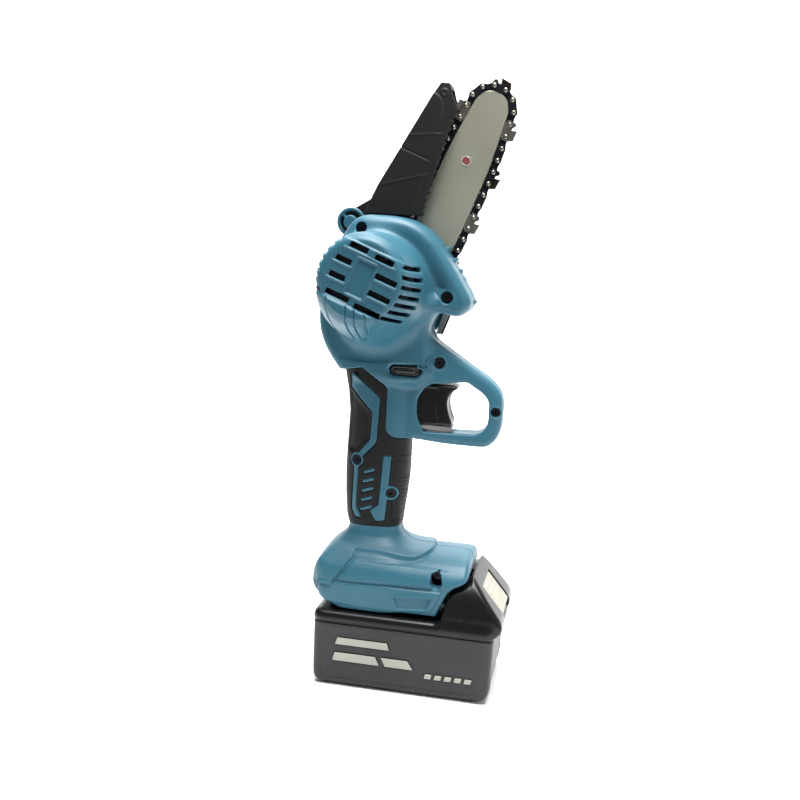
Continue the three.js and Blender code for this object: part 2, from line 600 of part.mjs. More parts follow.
const ADJUSTER = { x: -51.5, z: 230 };
const screwSlot = block(ADJUSTER.x - 3, ADJUSTER.x + 3, 31.6, 34, ADJUSTER.z - 0.5, ADJUSTER.z + 0.5);
add(
  "tension_screw",
  cut(join(rod(ADJUSTER.x, ADJUSTER.z, 14, 32.6, 1.5, 10),
    rod(ADJUSTER.x, ADJUSTER.z, 29.6, 32.6, 2.8, 12)), screwSlot),
  STEEL,
);

// ---------- upper chain guard on its pivot ----------
const GUARD_SIDE = [
  [-44.5, 303.6], [-36.5, 321], [-22.6, 345.7], [-3.1, 381], [0.5, 385], [5, 384.4, 1], [7.4, 377.5, 2],
  [10.2, 371, 2],
  [9.2, 361], [3.5, 343], [-7.2, 303.6],
];
const GUARD_INSIDE = [
  [-40, 300], [-33.2, 321], [-19.4, 345], [-0.3, 379], [3, 382], [30, 382], [30, 300],
];
const chainSide = Array.from({ length: 13 }, (_, i) => {
  const t = i / 12;
  return prism([[-8 + 16 * t, 306 + 52 * t], [-2 + 16 * t, 304 + 52 * t],
    [-4.5 + 16 * t, 308.5 + 52 * t]], 4, 7.5);
});
// The far wall reaches lower than the near one, down beside the head.
const guardSkirt = prism([[-42, 298], [-8.5, 298], [-8.5, 305], [-38, 305]], 21.4, GUARD.y1);
const guardHub = [
  [0, 9.4], [GUARD.hub, 9.4], [GUARD.hub, 20.4], [0, 20.4],
];
const guardArm = prism([[-61, 300], [-49, 290.5], [-45.5, 297], [-30, 303.6], [-28, 314], [-41, 314],
  [-56, 305]], 12.4, 18);
const guard = cut(
  join(
    cut(prism(GUARD_SIDE, GUARD.y0, GUARD.y1),
      prism(GUARD_INSIDE, GUARD.y0 + GUARD.wall, GUARD.y1 - GUARD.wall), ...chainSide),
    cut(guardArm, prism([[-36, 290], [0, 290], [0, 330], [-30, 330]], 0, 30)),
    turned(guardHub, GUARD.x, GUARD.z, 20),
    guardSkirt,
  ),
  rod(GUARD.x, GUARD.z, 0, 40, 2 + GAP, 12),
  ring(GUARD.x, GUARD.z, 12.5, 21, 5.6, 2 + 0.1, 16),
);
add("upper_guard", guard, BLACK);
const spokes = [0.5, 2.6, 4.7].map((a) =>
  moved(block(3, 8.6, 6, 8.8, -0.7, 0.7),
    new THREE.Matrix4().makeRotationY(a).setPosition(GUARD.x, 0, GUARD.z)),
);
add(
  "guard_pivot_ring",
  join(ring(GUARD.x, GUARD.z, 5.6, 9, 9.3, 7.3, 24), ring(GUARD.x, GUARD.z, 5.6, 9, 4, 2 + GAP, 16),
    ...spokes),
  BLUE,
);
const pinHead = [[0, 4], [3.4, 4], [3.4, 5.3], [2, 5.3], [2, 22], [0, 22]];
add("guard_pivot_pin", turned(pinHead, GUARD.x, GUARD.z, 14), STEEL);
const guardCoil = moved(coil(3.9, 6.5, 3, 0.5),
  new THREE.Matrix4().makeRotationX(-Math.PI / 2).setPosition(GUARD.x, 13.2, GUARD.z));
add("guard_spring", guardCoil, STEEL);

// ---------- trigger, lock button and switch ----------
const TRIGGER_SIDE = [
  [-6, 172.2], [20.6, 171.8, 0.6], [21.4, 174], [18.7, 180], [17.3, 187.5], [19.6, 193.2], [24.2, 197],
  [21, 198.2], [-3, 198.2, 2],
  [-6, 194],
];
const springSeat = (x0, x1) => block(x0, x1, -3.2, 3.2, 181.8, 188.2);
add("trigger", cut(prism(TRIGGER_SIDE, -TRIGGER.half, TRIGGER.half, 0.4), springSeat(-8, 0)), BLACK);
add("trigger_foot", block(-5, 21.8, -TRIGGER.half, TRIGGER.half, 169.2, 171.5), STEEL);
const alongX = new THREE.Matrix4().makeRotationY(Math.PI / 2).setPosition(-15.2, 0, 185);
add("trigger_spring", moved(coil(2.3, 14.6, 5, 0.45), alongX), STEEL);
add("switch_body", join(block(-34, -16, -8, 8, 171, 199), block(-31, -24, -3, 3, 166, 172)), BLACK);
add("lock_button", prism(lockSlot(0), -17.3, 13.2, 0.5), BLACK);

// ---------- electronics in the handle ----------
const lead = (y, points, radius = 1.2) =>
  wire(new THREE.CatmullRomCurve3(points.map(([x, z]) => new THREE.Vector3(x, y, z))), radius, 12, 6);
add("control_board", join(block(-33, -24, -0.9, 0.7, 108, 160), block(-32, -27, 0.6, 4, 114, 126),
  block(-32, -29, 0.6, 3, 134, 144)), GREEN);
add("lead_positive", lead(6.5, [[-30, 77], [-29, 100], [-28, 130], [-28, 170.5]]), RED);
add("lead_negative", lead(-6.5, [[-28, 77], [-27, 100], [-26, 130], [-26, 170.5]]), BLACK);
add("terminal_block", cut(join(block(-47, -22, -14, 14, 64, 76), block(-40, -28, -9, 9, 75, 76.5))), BLACK);
for (const [name, side] of [["blade_positive", 1], ["blade_negative", -1]]) {
  const y = side * 10;
  add(name, block(-44, -26, y - 0.4, y + 0.4, 51.5, 63.7), BRASS);
}

// ---------- battery ----------
const batteryPlan = (inset) =>
  plan(BATTERY.back + inset, BATTERY.front - inset, BATTERY.half - inset, BATTERY.corner - inset / 2);
add(
  "battery_lower_case",
  cut(column(batteryPlan(0), 0, BATTERY.seam - GAP, 1.5), column(batteryPlan(WALL), WALL, 60)),
  GREY,
);
const HUMP = [
  [24, 48], [28, 65], [31, 69.2], [41.8, 75.6], [42.2, 78.4, 1], [45.5, 75.4, 2], [64.3, 53.6, 3],
  [64.3, 47, 2], [58, 44],
];
const HUMP_INSIDE = [
  [27, 40], [30.5, 62.5], [33, 66], [42, 70.6], [43.5, 68.3], [55.9, 53.9], [60.6, 50], [61, 46], [55, 40],
];
const HUMP_END = [
  [-36, 40], [-36, 58, 5], [-30, 70, 5], [-22, 79], [22, 79], [30, 70, 5], [36, 58, 5], [36, 40],
];
const HUMP_END_INSIDE = [
  [-33, 30], [-33, 57], [-28, 68], [-21, 76], [21, 76], [28, 68], [33, 57], [33, 30],
];
const slope = new THREE.Matrix4().makeRotationY(BUTTON.tilt).setPosition(BUTTON.x, 0, BUTTON.z);
const buttonBay = moved(block(-13.2, 17, -BUTTON.half - 0.5, BUTTON.half + 0.5, -2.8, 20), slope);
const stemHole = moved(block(-10.4, -1.6, -4.6, 4.6, -12, 0), slope);
const latchWay = block(29.4, 40.6, -7.4, 7.4, 60, 90);
const railSection = (half, z0, z1) => [[-half, z0], [half, z0], [half, z1], [-half, z1]];
const bladeSlots = [-10, 10].map((y) => block(-60, -22, y - 1, y + 1, 50.6, 63));
add(
  "battery_upper_case",
  cut(
    join(
      column(batteryPlan(0), BATTERY.seam, BATTERY.deck, 1.5),
      meet(
        prism(HUMP, -36, 36),
        rail(HUMP_END, 20, 70),
      ),
      rail(railSection(RAIL.web, 49, 58), RAIL.back, 25),
      rail(railSection(RAIL.flange, 57, RAIL.top), RAIL.back, 27),
    ),
    column(batteryPlan(WALL), 40, 48),
    meet(prism(HUMP_INSIDE, -33, 33), rail(HUMP_END_INSIDE, 20, 70)),
    rail(railSection(18, 47, 58.6), RAIL.back + 2.4, 30),
    ...bladeSlots,
    buttonBay,
    stemHole,
    latchWay,
  ),
  BLACK,
);
const cells = [0, 1].flatMap((row) =>
  Array.from({ length: 5 }, (_, i) => rod(-38.4 + 19.2 * i, 12.6 + 18.6 * row, -32.5, 32.5, 9.1, 12)),
);
const straps = [-1, 1].map((side) => block(-46, 46, side * 32.4 - 0.6, side * 32.4 + 0.6, 9, 35.5));
add("cell_pack", join(...cells, ...straps, block(-38, 38, -20, 20, 20, 24)), CREAM);
add("battery_board", block(-20, 24, -26, 26, 42.2, 43.8), GREEN);
for (const [name, side] of [["contact_positive", 1], ["contact_negative", -1]]) {
  const y = side * 10;
  add(name, cut(block(-42, -28, y - 3, y + 3, 44.6, 57), block(-50, -20, y - 0.9, y + 0.9, 50.8, 60)),
    COPPER);
}
add(
  "release_button",
  moved(
    join(block(-12.6, 12.6, -BUTTON.half, BUTTON.half, -2.2, 0.8),
      ...[-6, -2, 2].map((x) => block(x, x + 1.6, -12, 12, 0.7, 1.5))),
    slope,
  ),
  CREAM,
);
// The hook's stem runs through the bay floor to the underside of the button.
const stem = moved(block(-9.4, -6.6, -4, 4, -8, -2.25), slope);
add("latch_hook", join(block(30, 36.6, -7, 7, 65.4, 79), block(30, 43.2, -7, 7, 65.4, 68.2), stem), BLACK);

export default saw;
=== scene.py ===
import json
import math

import bmesh
import bpy
import numpy as np
from mathutils import Matrix, Vector


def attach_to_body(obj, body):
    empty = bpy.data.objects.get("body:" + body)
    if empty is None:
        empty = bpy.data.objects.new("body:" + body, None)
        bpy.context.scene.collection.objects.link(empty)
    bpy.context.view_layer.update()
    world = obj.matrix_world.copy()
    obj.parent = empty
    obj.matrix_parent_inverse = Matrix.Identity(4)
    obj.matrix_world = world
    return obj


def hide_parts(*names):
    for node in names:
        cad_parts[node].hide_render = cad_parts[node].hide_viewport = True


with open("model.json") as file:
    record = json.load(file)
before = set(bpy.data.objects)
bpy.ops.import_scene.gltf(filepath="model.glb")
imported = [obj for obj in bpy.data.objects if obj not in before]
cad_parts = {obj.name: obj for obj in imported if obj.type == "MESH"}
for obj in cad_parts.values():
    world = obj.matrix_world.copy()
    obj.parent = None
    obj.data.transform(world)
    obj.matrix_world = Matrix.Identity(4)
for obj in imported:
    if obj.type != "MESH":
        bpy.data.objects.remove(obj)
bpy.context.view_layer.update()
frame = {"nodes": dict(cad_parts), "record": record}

# ---------- driving dimensions, in millimetres, in the frame of the CAD ----------
BAR_TILT = math.radians(21.3)
BAR_NOSE = (30.7, 370.8)
BAR_LENGTH = 129.2
BAR_Y = 14.4
BAR_THICK = 3.2
SPROCKET = (
    BAR_NOSE[0] - BAR_LENGTH * math.sin(BAR_TILT),
    BAR_NOSE[1] - BAR_LENGTH * math.cos(BAR_TILT),
)
STUD_U = 27
DRUM = {"x": -31.0, "z": 257.0, "shift": 7.5, "front": -62.0, "mouth": -20.3}
HEAD_FAR = 11.7
PARTING = 0.12
GUARD_PIVOT = (-53.9, 297.3)
STUD = (SPROCKET[0] + STUD_U * math.sin(BAR_TILT), SPROCKET[1] + STUD_U * math.cos(BAR_TILT))
ADJUSTER = (-51.5, 230)
MOTOR_ROOM = {"x": -30.9, "z": 263.8, "radius": 24, "end": -57.5}
DRUM_WALL = 2.8
CASE_WALL = 2.6
GRIP_DEPTH = 1.9
BAR_NOSE_RADIUS = 11.4
GROOVE_HALF = 0.75
RIVET_RADIUS = {"drive": 14.72, "nose": 14.6, "side": 3.2}
EDGE_BEVEL = 0.00025
SHARP = math.radians(35)

# ---------- fields: signed distances that are negative inside ----------


def smooth_min(a, b, k):
    h = np.clip(0.5 + 0.5 * (b - a) / k, 0, 1)
    return b * (1 - h) + a * h - k * h * (1 - h)


def smooth_max(a, b, k):
    return -smooth_min(-a, -b, k)


def rounded(corners, steps=8):
    """Corners are (x, y) or (x, y, r), where r rounds that corner."""
    points = []
    n = len(corners)
    for i, corner in enumerate(corners):
        here = np.array(corner[:2], float)
        if len(corner) == 2:
            points.append(here)
            continue
        ends = []
        for other in (corners[i - 1], corners[(i + 1) % n]):
            edge = np.array(other[:2], float) - here
            size = np.linalg.norm(edge)
            ends.append(here + edge / size * min(corner[2], 0.48 * size))
        for t in np.linspace(0, 1, steps):
            points.append((1 - t) ** 2 * ends[0] + 2 * t * (1 - t) * here + t * t * ends[1])
    return np.array(points)


def polygon(corners, x, z):
    """Signed distance to an outline whose corners may be rounded."""
    points = rounded(corners)
    nearest = np.full(np.broadcast(x, z).shape, 1e9)
    inside = np.zeros(nearest.shape, bool)
    for (ax, az), (bx, bz) in zip(points, np.roll(points, -1, axis=0)):
        ex, ez = bx - ax, bz - az
        length = ex * ex + ez * ez
        if length < 1e-9:
            continue
        t = np.clip(((x - ax) * ex + (z - az) * ez) / length, 0, 1)
        nearest = np.minimum(nearest, (x - ax - t * ex) ** 2 + (z - az - t * ez) ** 2)
        if az != bz:
            crosses = ((az > z) != (bz > z)) & (x < ex * (z - az) / ez + ax)
            inside ^= crosses
    return np.where(inside, -1, 1) * np.sqrt(nearest)


def circle(x, z, cx, cz, r):
    return np.hypot(x - cx, z - cz) - r


def capsule(x, z, ax, az, bx, bz, r):
    ex, ez = bx - ax, bz - az
    t = np.clip(((x - ax) * ex + (z - az) * ez) / (ex * ex + ez * ez), 0, 1)
    return np.hypot(x - ax - t * ex, z - az - t * ez) - r


def slab(y, y0, y1):
    return np.maximum(y0 - y, y - y1)


def raised(distance, soft=0.5):
    """1 inside an outline and 0 outside it, with a soft edge."""
    return np.clip(0.5 - distance / (2 * soft), 0, 1)


def turned_to_bar(x, z, cx, cz):
    """Coordinates across and along the bar's direction, from (cx, cz)."""
    c, s = math.cos(BAR_TILT), math.sin(BAR_TILT)
    return (x - cx) * c - (z - cz) * s, (x - cx) * s + (z - cz) * c


# ---------- meshes ----------
CORNERS = [(i, j, k) for i in (0, 1) for j in (0, 1) for k in (0, 1)]


def relax(points, quads):
    """Evens the surface by moving each point towards the mean of its neighbours and back a little."""
    a = np.concatenate([quads[:, i] for i in range(4)])
    b = np.concatenate([quads[:, (i + 1) % 4] for i in range(4)])
    ends, others = np.concatenate([a, b]), np.concatenate([b, a])
    count = np.bincount(ends, minlength=len(points))[:, None]
    for amount in (0.5, -0.52):
        mean = np.stack(
            [np.bincount(ends, points[others, k], minlength=len(points)) for k in range(3)], axis=1
        )
        points = points + amount * (mean / np.maximum(count, 1) - points)
    return points


def skin(field, low, high, step):
    """The closed surface where a field crosses zero, as points and quads."""
    axes = [np.arange(a - 1.5 * step, b + 2 * step, step) for a, b in zip(low, high)]
    grid = (axes[0][:, None, None], axes[1][None, :, None], axes[2][None, None, :])
    shape = tuple(len(a) for a in axes)
    d = np.array(np.broadcast_to(field(*grid), shape), dtype=np.float32)
    for k in range(3):
        edge = [slice(None)] * 3
        for end in (0, -1):
            edge[k] = end
            d[tuple(edge)] = np.maximum(d[tuple(edge)], 0.01)
    inside = d < 0
    n = [s - 1 for s in shape]
    count = sum(inside[i : i + n[0], j : j + n[1], k : k + n[2]].astype(np.int8) for i, j, k in CORNERS)
    cells = np.argwhere((count > 0) & (count < 8))
    values = np.stack([d[tuple((cells + c).T)] for c in CORNERS], axis=1)
    total = np.zeros((len(cells), 3))
    hits = np.zeros(len(cells))
    for a in range(8):
        for b in range(a + 1, 8):
            step_ab = np.subtract(CORNERS[b], CORNERS[a])
            if np.abs(step_ab).sum() != 1:
                continue
            cross = (values[:, a] < 0) != (values[:, b] < 0)
            t = values[cross, a] / (values[cross, a] - values[cross, b])
            total[cross] += np.array(CORNERS[a]) + t[:, None] * step_ab
            hits += cross
    start = np.array([a[0] for a in axes])
    points = start + step * (cells + total / hits[:, None])
    index = np.full(n, -1)
    index[tuple(cells.T)] = np.arange(len(cells))
    quads = []
    for axis in range(3):
        u, v = np.eye(3, dtype=int)[(axis + 1) % 3], np.eye(3, dtype=int)[(axis + 2) % 3]
        low_side = np.take(inside, range(n[axis]), axis=axis)
        high_side = np.take(inside, range(1, n[axis] + 1), axis=axis)
        edges = np.argwhere(low_side != high_side)
        outward = low_side[tuple(edges.T)]
        around = [edges, edges - u, edges - u - v, edges - v]
        quad = np.stack([index[tuple(c.T)] for c in around], axis=1)
        quad[~outward] = quad[~outward][:, ::-1]
        quads.append(quad)
    quads = np.concatenate(quads)
    return relax(points, quads), quads


def mesh_object(name, points, faces, look):
    """A Blender object from points in millimetres."""
    mesh = bpy.data.meshes.new(name)
    mesh.from_pydata((np.asarray(points) / 1000).tolist(), [], [list(map(int, f)) for f in faces])
    mesh.update()
    piece = bpy.data.objects.new(name, mesh)
    bpy.context.scene.collection.objects.link(piece)
    mesh.materials.append(look)
    mesh.polygons.foreach_set("use_smooth", [True] * len(mesh.polygons))
    return piece


def attach(piece, body, stands_for=(), slot=None):
    """Makes a piece ride a body and stand in for CAD nodes; its slot argument is not used."""
    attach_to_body(piece, body)
    if stands_for:
        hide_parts(*stands_for)


def moulded(name, body, field, low, high, step, look, stands_for, slot):
    """A piece whose surface is where a field crosses zero."""
    points, quads = skin(field, low, high, step)
    attach(mesh_object(name, points, quads, look), body, stands_for, slot)


# ---------- materials ----------
MOTTLE, SMUDGE, GRAIN = 28, 70, 2600


def new_material(name):
    made = bpy.data.materials.new(name)
    made.use_nodes = True
    nodes = made.node_tree.nodes
    return made, nodes, made.node_tree.links, nodes["Principled BSDF"]


def noise(nodes, links, scale, detail, roughness=0.5):
    place = nodes.new("ShaderNodeTexCoord")
    made = nodes.new("ShaderNodeTexNoise")
    made.inputs["Scale"].default_value = scale
    made.inputs["Detail"].default_value = detail
    made.inputs["Roughness"].default_value = roughness
    links.new(place.outputs["Object"], made.inputs["Vector"])
    return made.outputs["Fac"]


def ramp(nodes, links, source, stops):
    made = nodes.new("ShaderNodeValToRGB")
    elements = made.color_ramp.elements
    while len(elements) < len(stops):
        elements.new(0.5)
    for element, (at, colour) in zip(elements, stops):
        element.position = at
        element.color = (*colour, 1)
    links.new(source, made.inputs["Fac"])
    return made.outputs["Color"]


def worn_edges(nodes, links, colour, edge_colour, amount):
    """Lightens the sharp edges, where handling has polished the surface."""
    geometry = nodes.new("ShaderNodeNewGeometry")
    spread = nodes.new("ShaderNodeMapRange")
    spread.inputs["From Min"].default_value = 0.52
    spread.inputs["From Max"].default_value = 0.62
    spread.inputs["To Max"].default_value = amount
    links.new(geometry.outputs["Pointiness"], spread.inputs["Value"])
    mix = nodes.new("ShaderNodeMix")
    mix.data_type = "RGBA"
    links.new(spread.outputs["Result"], mix.inputs["Factor"])
    links.new(colour, mix.inputs[6])
    mix.inputs[7].default_value = (*edge_colour, 1)
    return mix.outputs[2]


def surface(name, colour, roughness, metal=0.0, vary=0.12, bump=0.05, edge=0.25, shine=0.5):
    """A procedural finish: mottled colour and roughness, a fine grain, and polished edges."""
    made, nodes, links, shader = new_material(name)
    dark = tuple(c * (1 - vary) for c in colour)
    light = tuple(min(1, c * (1 + vary)) for c in colour)
    mottle = noise(nodes, links, MOTTLE, 4)
    tone = ramp(nodes, links, mottle, [(0.3, dark), (0.7, light)])
    edge_colour = tuple(min(1, c * 1.5 + 0.02) for c in colour)
    links.new(worn_edges(nodes, links, tone, edge_colour, edge), shader.inputs["Base Color"])
    smudge = noise(nodes, links, SMUDGE, 5, 0.6)
    spread = nodes.new("ShaderNodeMapRange")
    spread.inputs["To Min"].default_value = max(0.05, roughness - 0.07)
    spread.inputs["To Max"].default_value = min(1.0, roughness + 0.07)
    links.new(smudge, spread.inputs["Value"])
    links.new(spread.outputs["Result"], shader.inputs["Roughness"])
    shader.inputs["Metallic"].default_value = metal
    shader.inputs["Specular IOR Level"].default_value = shine
    fine = noise(nodes, links, GRAIN, 2)
    made_bump = nodes.new("ShaderNodeBump")
    made_bump.inputs["Strength"].default_value = bump
    made_bump.inputs["Distance"].default_value = 0.0004
    links.new(fine, made_bump.inputs["Height"])
    links.new(made_bump.outputs["Normal"], shader.inputs["Normal"])
    return made


BLUE = surface("blue_plastic", (0.031, 0.128, 0.182), 0.42, vary=0.05, bump=0.12, shine=0.4)
RUBBER = surface("grip_rubber", (0.007, 0.0078, 0.0078), 0.6, vary=0.2, bump=0.3, shine=0.25)
GUARD_BLACK = surface("guard_plastic", (0.014, 0.014, 0.0125), 0.5, vary=0.2, bump=0.25, shine=0.3)
GLOSS_BLACK = surface("gloss_plastic", (0.0045, 0.0045, 0.005), 0.3, vary=0.2, bump=0.06, shine=0.35)
BLACK = surface("black_plastic", (0.008, 0.008, 0.009), 0.36, vary=0.2, bump=0.1)
CHARCOAL = surface("charcoal_plastic", (0.032, 0.032, 0.034), 0.45, vary=0.1, bump=0.15, shine=0.3)
CREAM = surface("cream_plastic", (0.34, 0.325, 0.265), 0.42, vary=0.06, bump=0.1)
BAR_GREY = surface("bar_paint", (0.32, 0.315, 0.25), 0.42, metal=0.3, vary=0.07, bump=0.1)
STEEL = surface("bare_steel", (0.5, 0.5, 0.49), 0.3, metal=1.0, vary=0.12, bump=0.15)
RIVET = surface("rivet_steel", (0.3, 0.28, 0.23), 0.34, metal=1.0, vary=0.15, bump=0.1)
# The cutter colour comes in two copies: the darker one is painted shade for the far-side cutters, and the
# lighter one is painted light for the near-side cutters.
CUTTER_FAR_SHADED = surface("cutter_far_painted_shade", (0.09, 0.075, 0.058), 0.36, metal=1.0, vary=0.35, bump=0.2)
CUTTER_NEAR_LIT = surface("cutter_near_painted_light", (0.26, 0.245, 0.22), 0.36, metal=1.0, vary=0.3, bump=0.2)
LINK = surface("link_oxide", (0.02, 0.022, 0.028), 0.38, metal=0.85, vary=0.3, bump=0.2)
DARK_STEEL = surface("dark_steel", (0.02, 0.021, 0.026), 0.38, metal=0.9, vary=0.2, bump=0.15)
COPPER = surface("copper", (0.6, 0.27, 0.12), 0.35, metal=1.0, vary=0.15)
BRASS = surface("brass", (0.6, 0.45, 0.2), 0.35, metal=1.0, vary=0.12)
RED = surface("red_paint", (0.19, 0.045, 0.04), 0.5, vary=0.15)
GREEN = surface("board_mask", (0.02, 0.14, 0.05), 0.4, vary=0.1)
PALE = surface("pale_plastic", (0.38, 0.38, 0.33), 0.5, vary=0.08)

CARRIED = {
    "steel": STEEL, "dark_steel": DARK_STEEL, "copper": COPPER, "brass": BRASS, "board_green": GREEN,
    "bar_paint": BAR_GREY, "red_paint": RED, "cream_plastic": CREAM, "black_plastic": BLACK,
    "grey_plastic": CHARCOAL, "housing_blue": BLUE, "grip_rubber": RUBBER,
}
for subpart in frame["record"]["subparts"]:
    carried = frame["nodes"][subpart["node"]]
    carried.data.materials.clear()
    carried.data.materials.append(CARRIED[subpart["material_slot"]])
    bevel = carried.modifiers.new("edge", "BEVEL")
    bevel.width = EDGE_BEVEL
    bevel.segments = 2
    bevel.limit_method = "ANGLE"
    bevel.angle_limit = SHARP

# ---------- camera, floor and light ----------
VIEW = {"azimuth": 10.8, "elevation": 9.5, "roll": 3.0, "distance": 0.65, "target": (-0.0145, 0, 0.185)}


def make_camera():
    a, e, r = (math.radians(VIEW[k]) for k in ("azimuth", "elevation", "roll"))
    back = Vector((math.sin(a) * math.cos(e), -math.cos(a) * math.cos(e), math.sin(e)))
    right = Vector((math.cos(a), math.sin(a), 0))
    up = back.cross(right)
    across = right * math.cos(r) + up * math.sin(r)
    upward = up * math.cos(r) - right * math.sin(r)
    camera = bpy.data.objects.new("camera", bpy.data.cameras.new("camera"))
    bpy.context.scene.collection.objects.link(camera)
    place = Matrix((across, upward, back)).transposed().to_4x4()
    place.translation = Vector(VIEW["target"]) + back * VIEW["distance"]
    camera.matrix_world = place
    camera.data.sensor_width = 36
    camera.data.lens = 45
    bpy.context.scene.camera = camera


def area_light(name, at, towards, size, power):
    lamp = bpy.data.lights.new(name, "AREA")
    lamp.size = size
    lamp.energy = power
    holder = bpy.data.objects.new(name, lamp)
    bpy.context.scene.collection.objects.link(holder)
    holder.location = at
    holder.rotation_euler = (Vector(towards) - Vector(at)).to_track_quat("-Z", "Y").to_euler()


make_camera()
bpy.context.scene.view_settings.view_transform = "Standard"
paper = surface("studio_paper", (0.9, 0.9, 0.9), 0.8, vary=0.01, bump=0.02, edge=0.0)
sweep = [(-0.35, 0), (1.1, 0)]
sweep += [(1.1 + 0.5 * math.sin(a), 0.5 - 0.5 * math.cos(a)) for a in np.linspace(0.1, math.pi / 2, 12)]
sweep += [(1.6, 2.4)]
backdrop = mesh_object(
    "backdrop",
    [(side * 1800, y * 1000, z * 1000) for y, z in sweep for side in (-1, 1)],
    [(2 * i, 2 * i + 1, 2 * i + 3, 2 * i + 2) for i in range(len(sweep) - 1)],
    paper,
)
world = bpy.data.worlds.new("studio")
bpy.context.scene.world = world
world.use_nodes = True
world.node_tree.nodes["Background"].inputs["Color"].default_value = (1, 1, 1, 1)
world.node_tree.nodes["Background"].inputs["Strength"].default_value = 0.22
area_light("key", (0.05, -0.3, 1.35), (-0.02, 0, 0.2), 0.6, 28)
area_light("side", (1.0, -0.5, 0.6), (0, 0, 0.2), 0.6, 1.8)
area_light("backdrop_light", (0, 0.6, 2.1), (0, 1.6, 1.1), 1.4, 90)

# ---------- housing ----------
# Outlines are corners (x, z), or (x, z, r) where r rounds the corner.
HEAD = [
    (-67.5, 230, 10), (-67.5, 262, 14), (-55, 287, 8), (-45, 302.3, 10), (-14, 302.4, 14), (3, 293, 10),
    (17, 274, 10), (31.5, 251, 8), (24, 241.6, 6), (8, 244.6, 4), (3.5, 234, 5), (6, 205), (-2, 198),
    (-51, 202, 5), (-62, 216, 12),
]
HEAD_INSIDE = [
    (-64, 232, 8), (-64, 261, 10), (-50, 287, 4), (-34, 288), (-34, 299, 3), (-15, 299, 6), (1, 290, 3),
    (8, 262), (6, 248), (0, 236), (-1, 216), (-9.5, 213), (-9.5, 200), (-48, 205), (-60, 218, 4),
]
LOOP_OUTSIDE = [
    (2, 232, 6), (8, 226, 6), (30, 212), (46, 202.4, 10), (53, 193, 8), (53, 170, 10), (46, 160, 10),
    (36, 159.5, 8), (15, 160, 10), (-6, 162.2), (-6, 205),
]
LOOP_INSIDE = [
    (29.5, 201, 2), (41, 194, 4), (44.2, 189, 3), (44.2, 174, 5), (39, 168.4, 4), (4, 167.4),
    (-0.6, 176, 4), (-1.3, 184, 4), (-0.6, 190, 4), (4, 196.6, 4), (9, 198.4, 2),
]
FOOT_SIDE = [
    (-42, 53), (-55, 57.5, 8), (-62.8, 66, 7), (-57.5, 80, 12), (-45, 90.5, 12), (35, 92.4, 9),
    (41.6, 86, 4), (41.2, 77, 1.5), (29.2, 71, 4), (26, 64, 4), (21.6, 53),
]
FOOT_ENDS = [
    (-34, 40), (-34, 70, 8), (-31, 79, 8), (-20, 88.4, 14), (0, 91.5, 14), (20, 88.4, 14), (31, 79, 8),
    (34, 70, 8), (34, 40),
]
FOOT_PANEL = [(-43.4, 71.2, 1), (-33, 83.6, 1.5), (4, 83.2, 3), (32, 82, 5), (32, 73, 2), (17, 72.4, 1)]
HANDLE_Z = [88, 101, 109, 123, 135, 148, 161, 179, 190, 203, 212]
HANDLE_BACK = [-43, -43.6, -45.6, -47, -47.5, -47.5, -47.1, -46.7, -47.9, -50.6, -54]
HANDLE_FRONT = [-9, -8.8, -8.0, -6.4, -5.2, -5.1, -5.3, -5.4, -5.4, -5.4, -5.4]
# Each screw well: its place (x, z), its radius, the height of its lip, and the y of its floor.
SCREWS = {
    "head_rear": (-40.5, 293.8, 3.6, 0, -15.5), "head_nose": (15, 254.2, 3.8, 0.5, -15.5),
    "trigger": (11.5, 212.5, 3.4, 0.6, -8.5), "loop": (48.7, 183.5, 3.1, 0.5, -5),
    "handle_rear": (-38, 146.5, 3.3, 0.5, -11.5), "handle_front": (-14.6, 126, 3.3, 0.5, -11.5),
    "foot": (20.5, 78.5, 3.4, 0, -22),
}
STRIPES = [
    [(-43, 203), (-24.2, 188, 2), (-25.4, 159, 2), (-36.9, 145.9), (-38.8, 149.4), (-29.7, 160.4, 1),
     (-29, 178.2, 1), (-44.4, 193.5)],
    [(-39.9, 143.4), (-36.6, 143.4), (-37.2, 116, 1), (-33.3, 108), (-37.6, 108.2), (-40.3, 113.4)],
    [(-20.6, 150.6), (-15.2, 150.6), (-16.6, 127.4), (-17.6, 107.6), (-23.6, 106.7, 1),
     (-27.8, 113.6, 1), (-22.4, 117.8)],
]
# A plain row of slanted dashes between the stripes.
DASHES = [(-33.4 + 0.25 * i, 114 + 6.2 * i, -27.6 + 0.25 * i, 116 + 6.2 * i) for i in range(5)]
GRIP_SIDE = [
    (-70, 103.5), (-70, 204.5), (-49, 204.5), (-36.5, 207), (-20.2, 195.2, 3), (-20.2, 166, 5),
    (-14, 162.3, 5), (-2, 162.3), (-2, 103.5),
]
POCKET = [(-44.6, 191), (-30.2, 177.2, 2), (-30.6, 161, 2), (-40, 150.6), (-44.6, 153)]


def handle(x, y, z):
    back, front = np.interp(z, HANDLE_Z, HANDLE_BACK), np.interp(z, HANDLE_Z, HANDLE_FRONT)
    a, centre = (front - back) / 2, (front + back) / 2
    power = 2.7
    norm = ((np.abs(x - centre) / a) ** power + (np.abs(y) / 16.2) ** power + 1e-9) ** (1 / power)
    return (norm - 1) * 17


def grip_area(x, z):
    return polygon(GRIP_SIDE, x, z)


DRUM_Y = [-62, -60.5, -58, -50, -40, -30, -20, -12]
DRUM_RADIUS = [23, 24.6, 26.4, 29.3, 31.4, 33.2, 34.3, 34.5]


def drum_radius(y):
    return np.interp(y, DRUM_Y, DRUM_RADIUS)


def drum_frame(x, y, z):
    lean = np.clip((DRUM["mouth"] - y) / (DRUM["mouth"] - DRUM["front"]), 0, 1)
    return x - DRUM["x"] - lean * 0.4, z - DRUM["z"] - lean * DRUM["shift"]


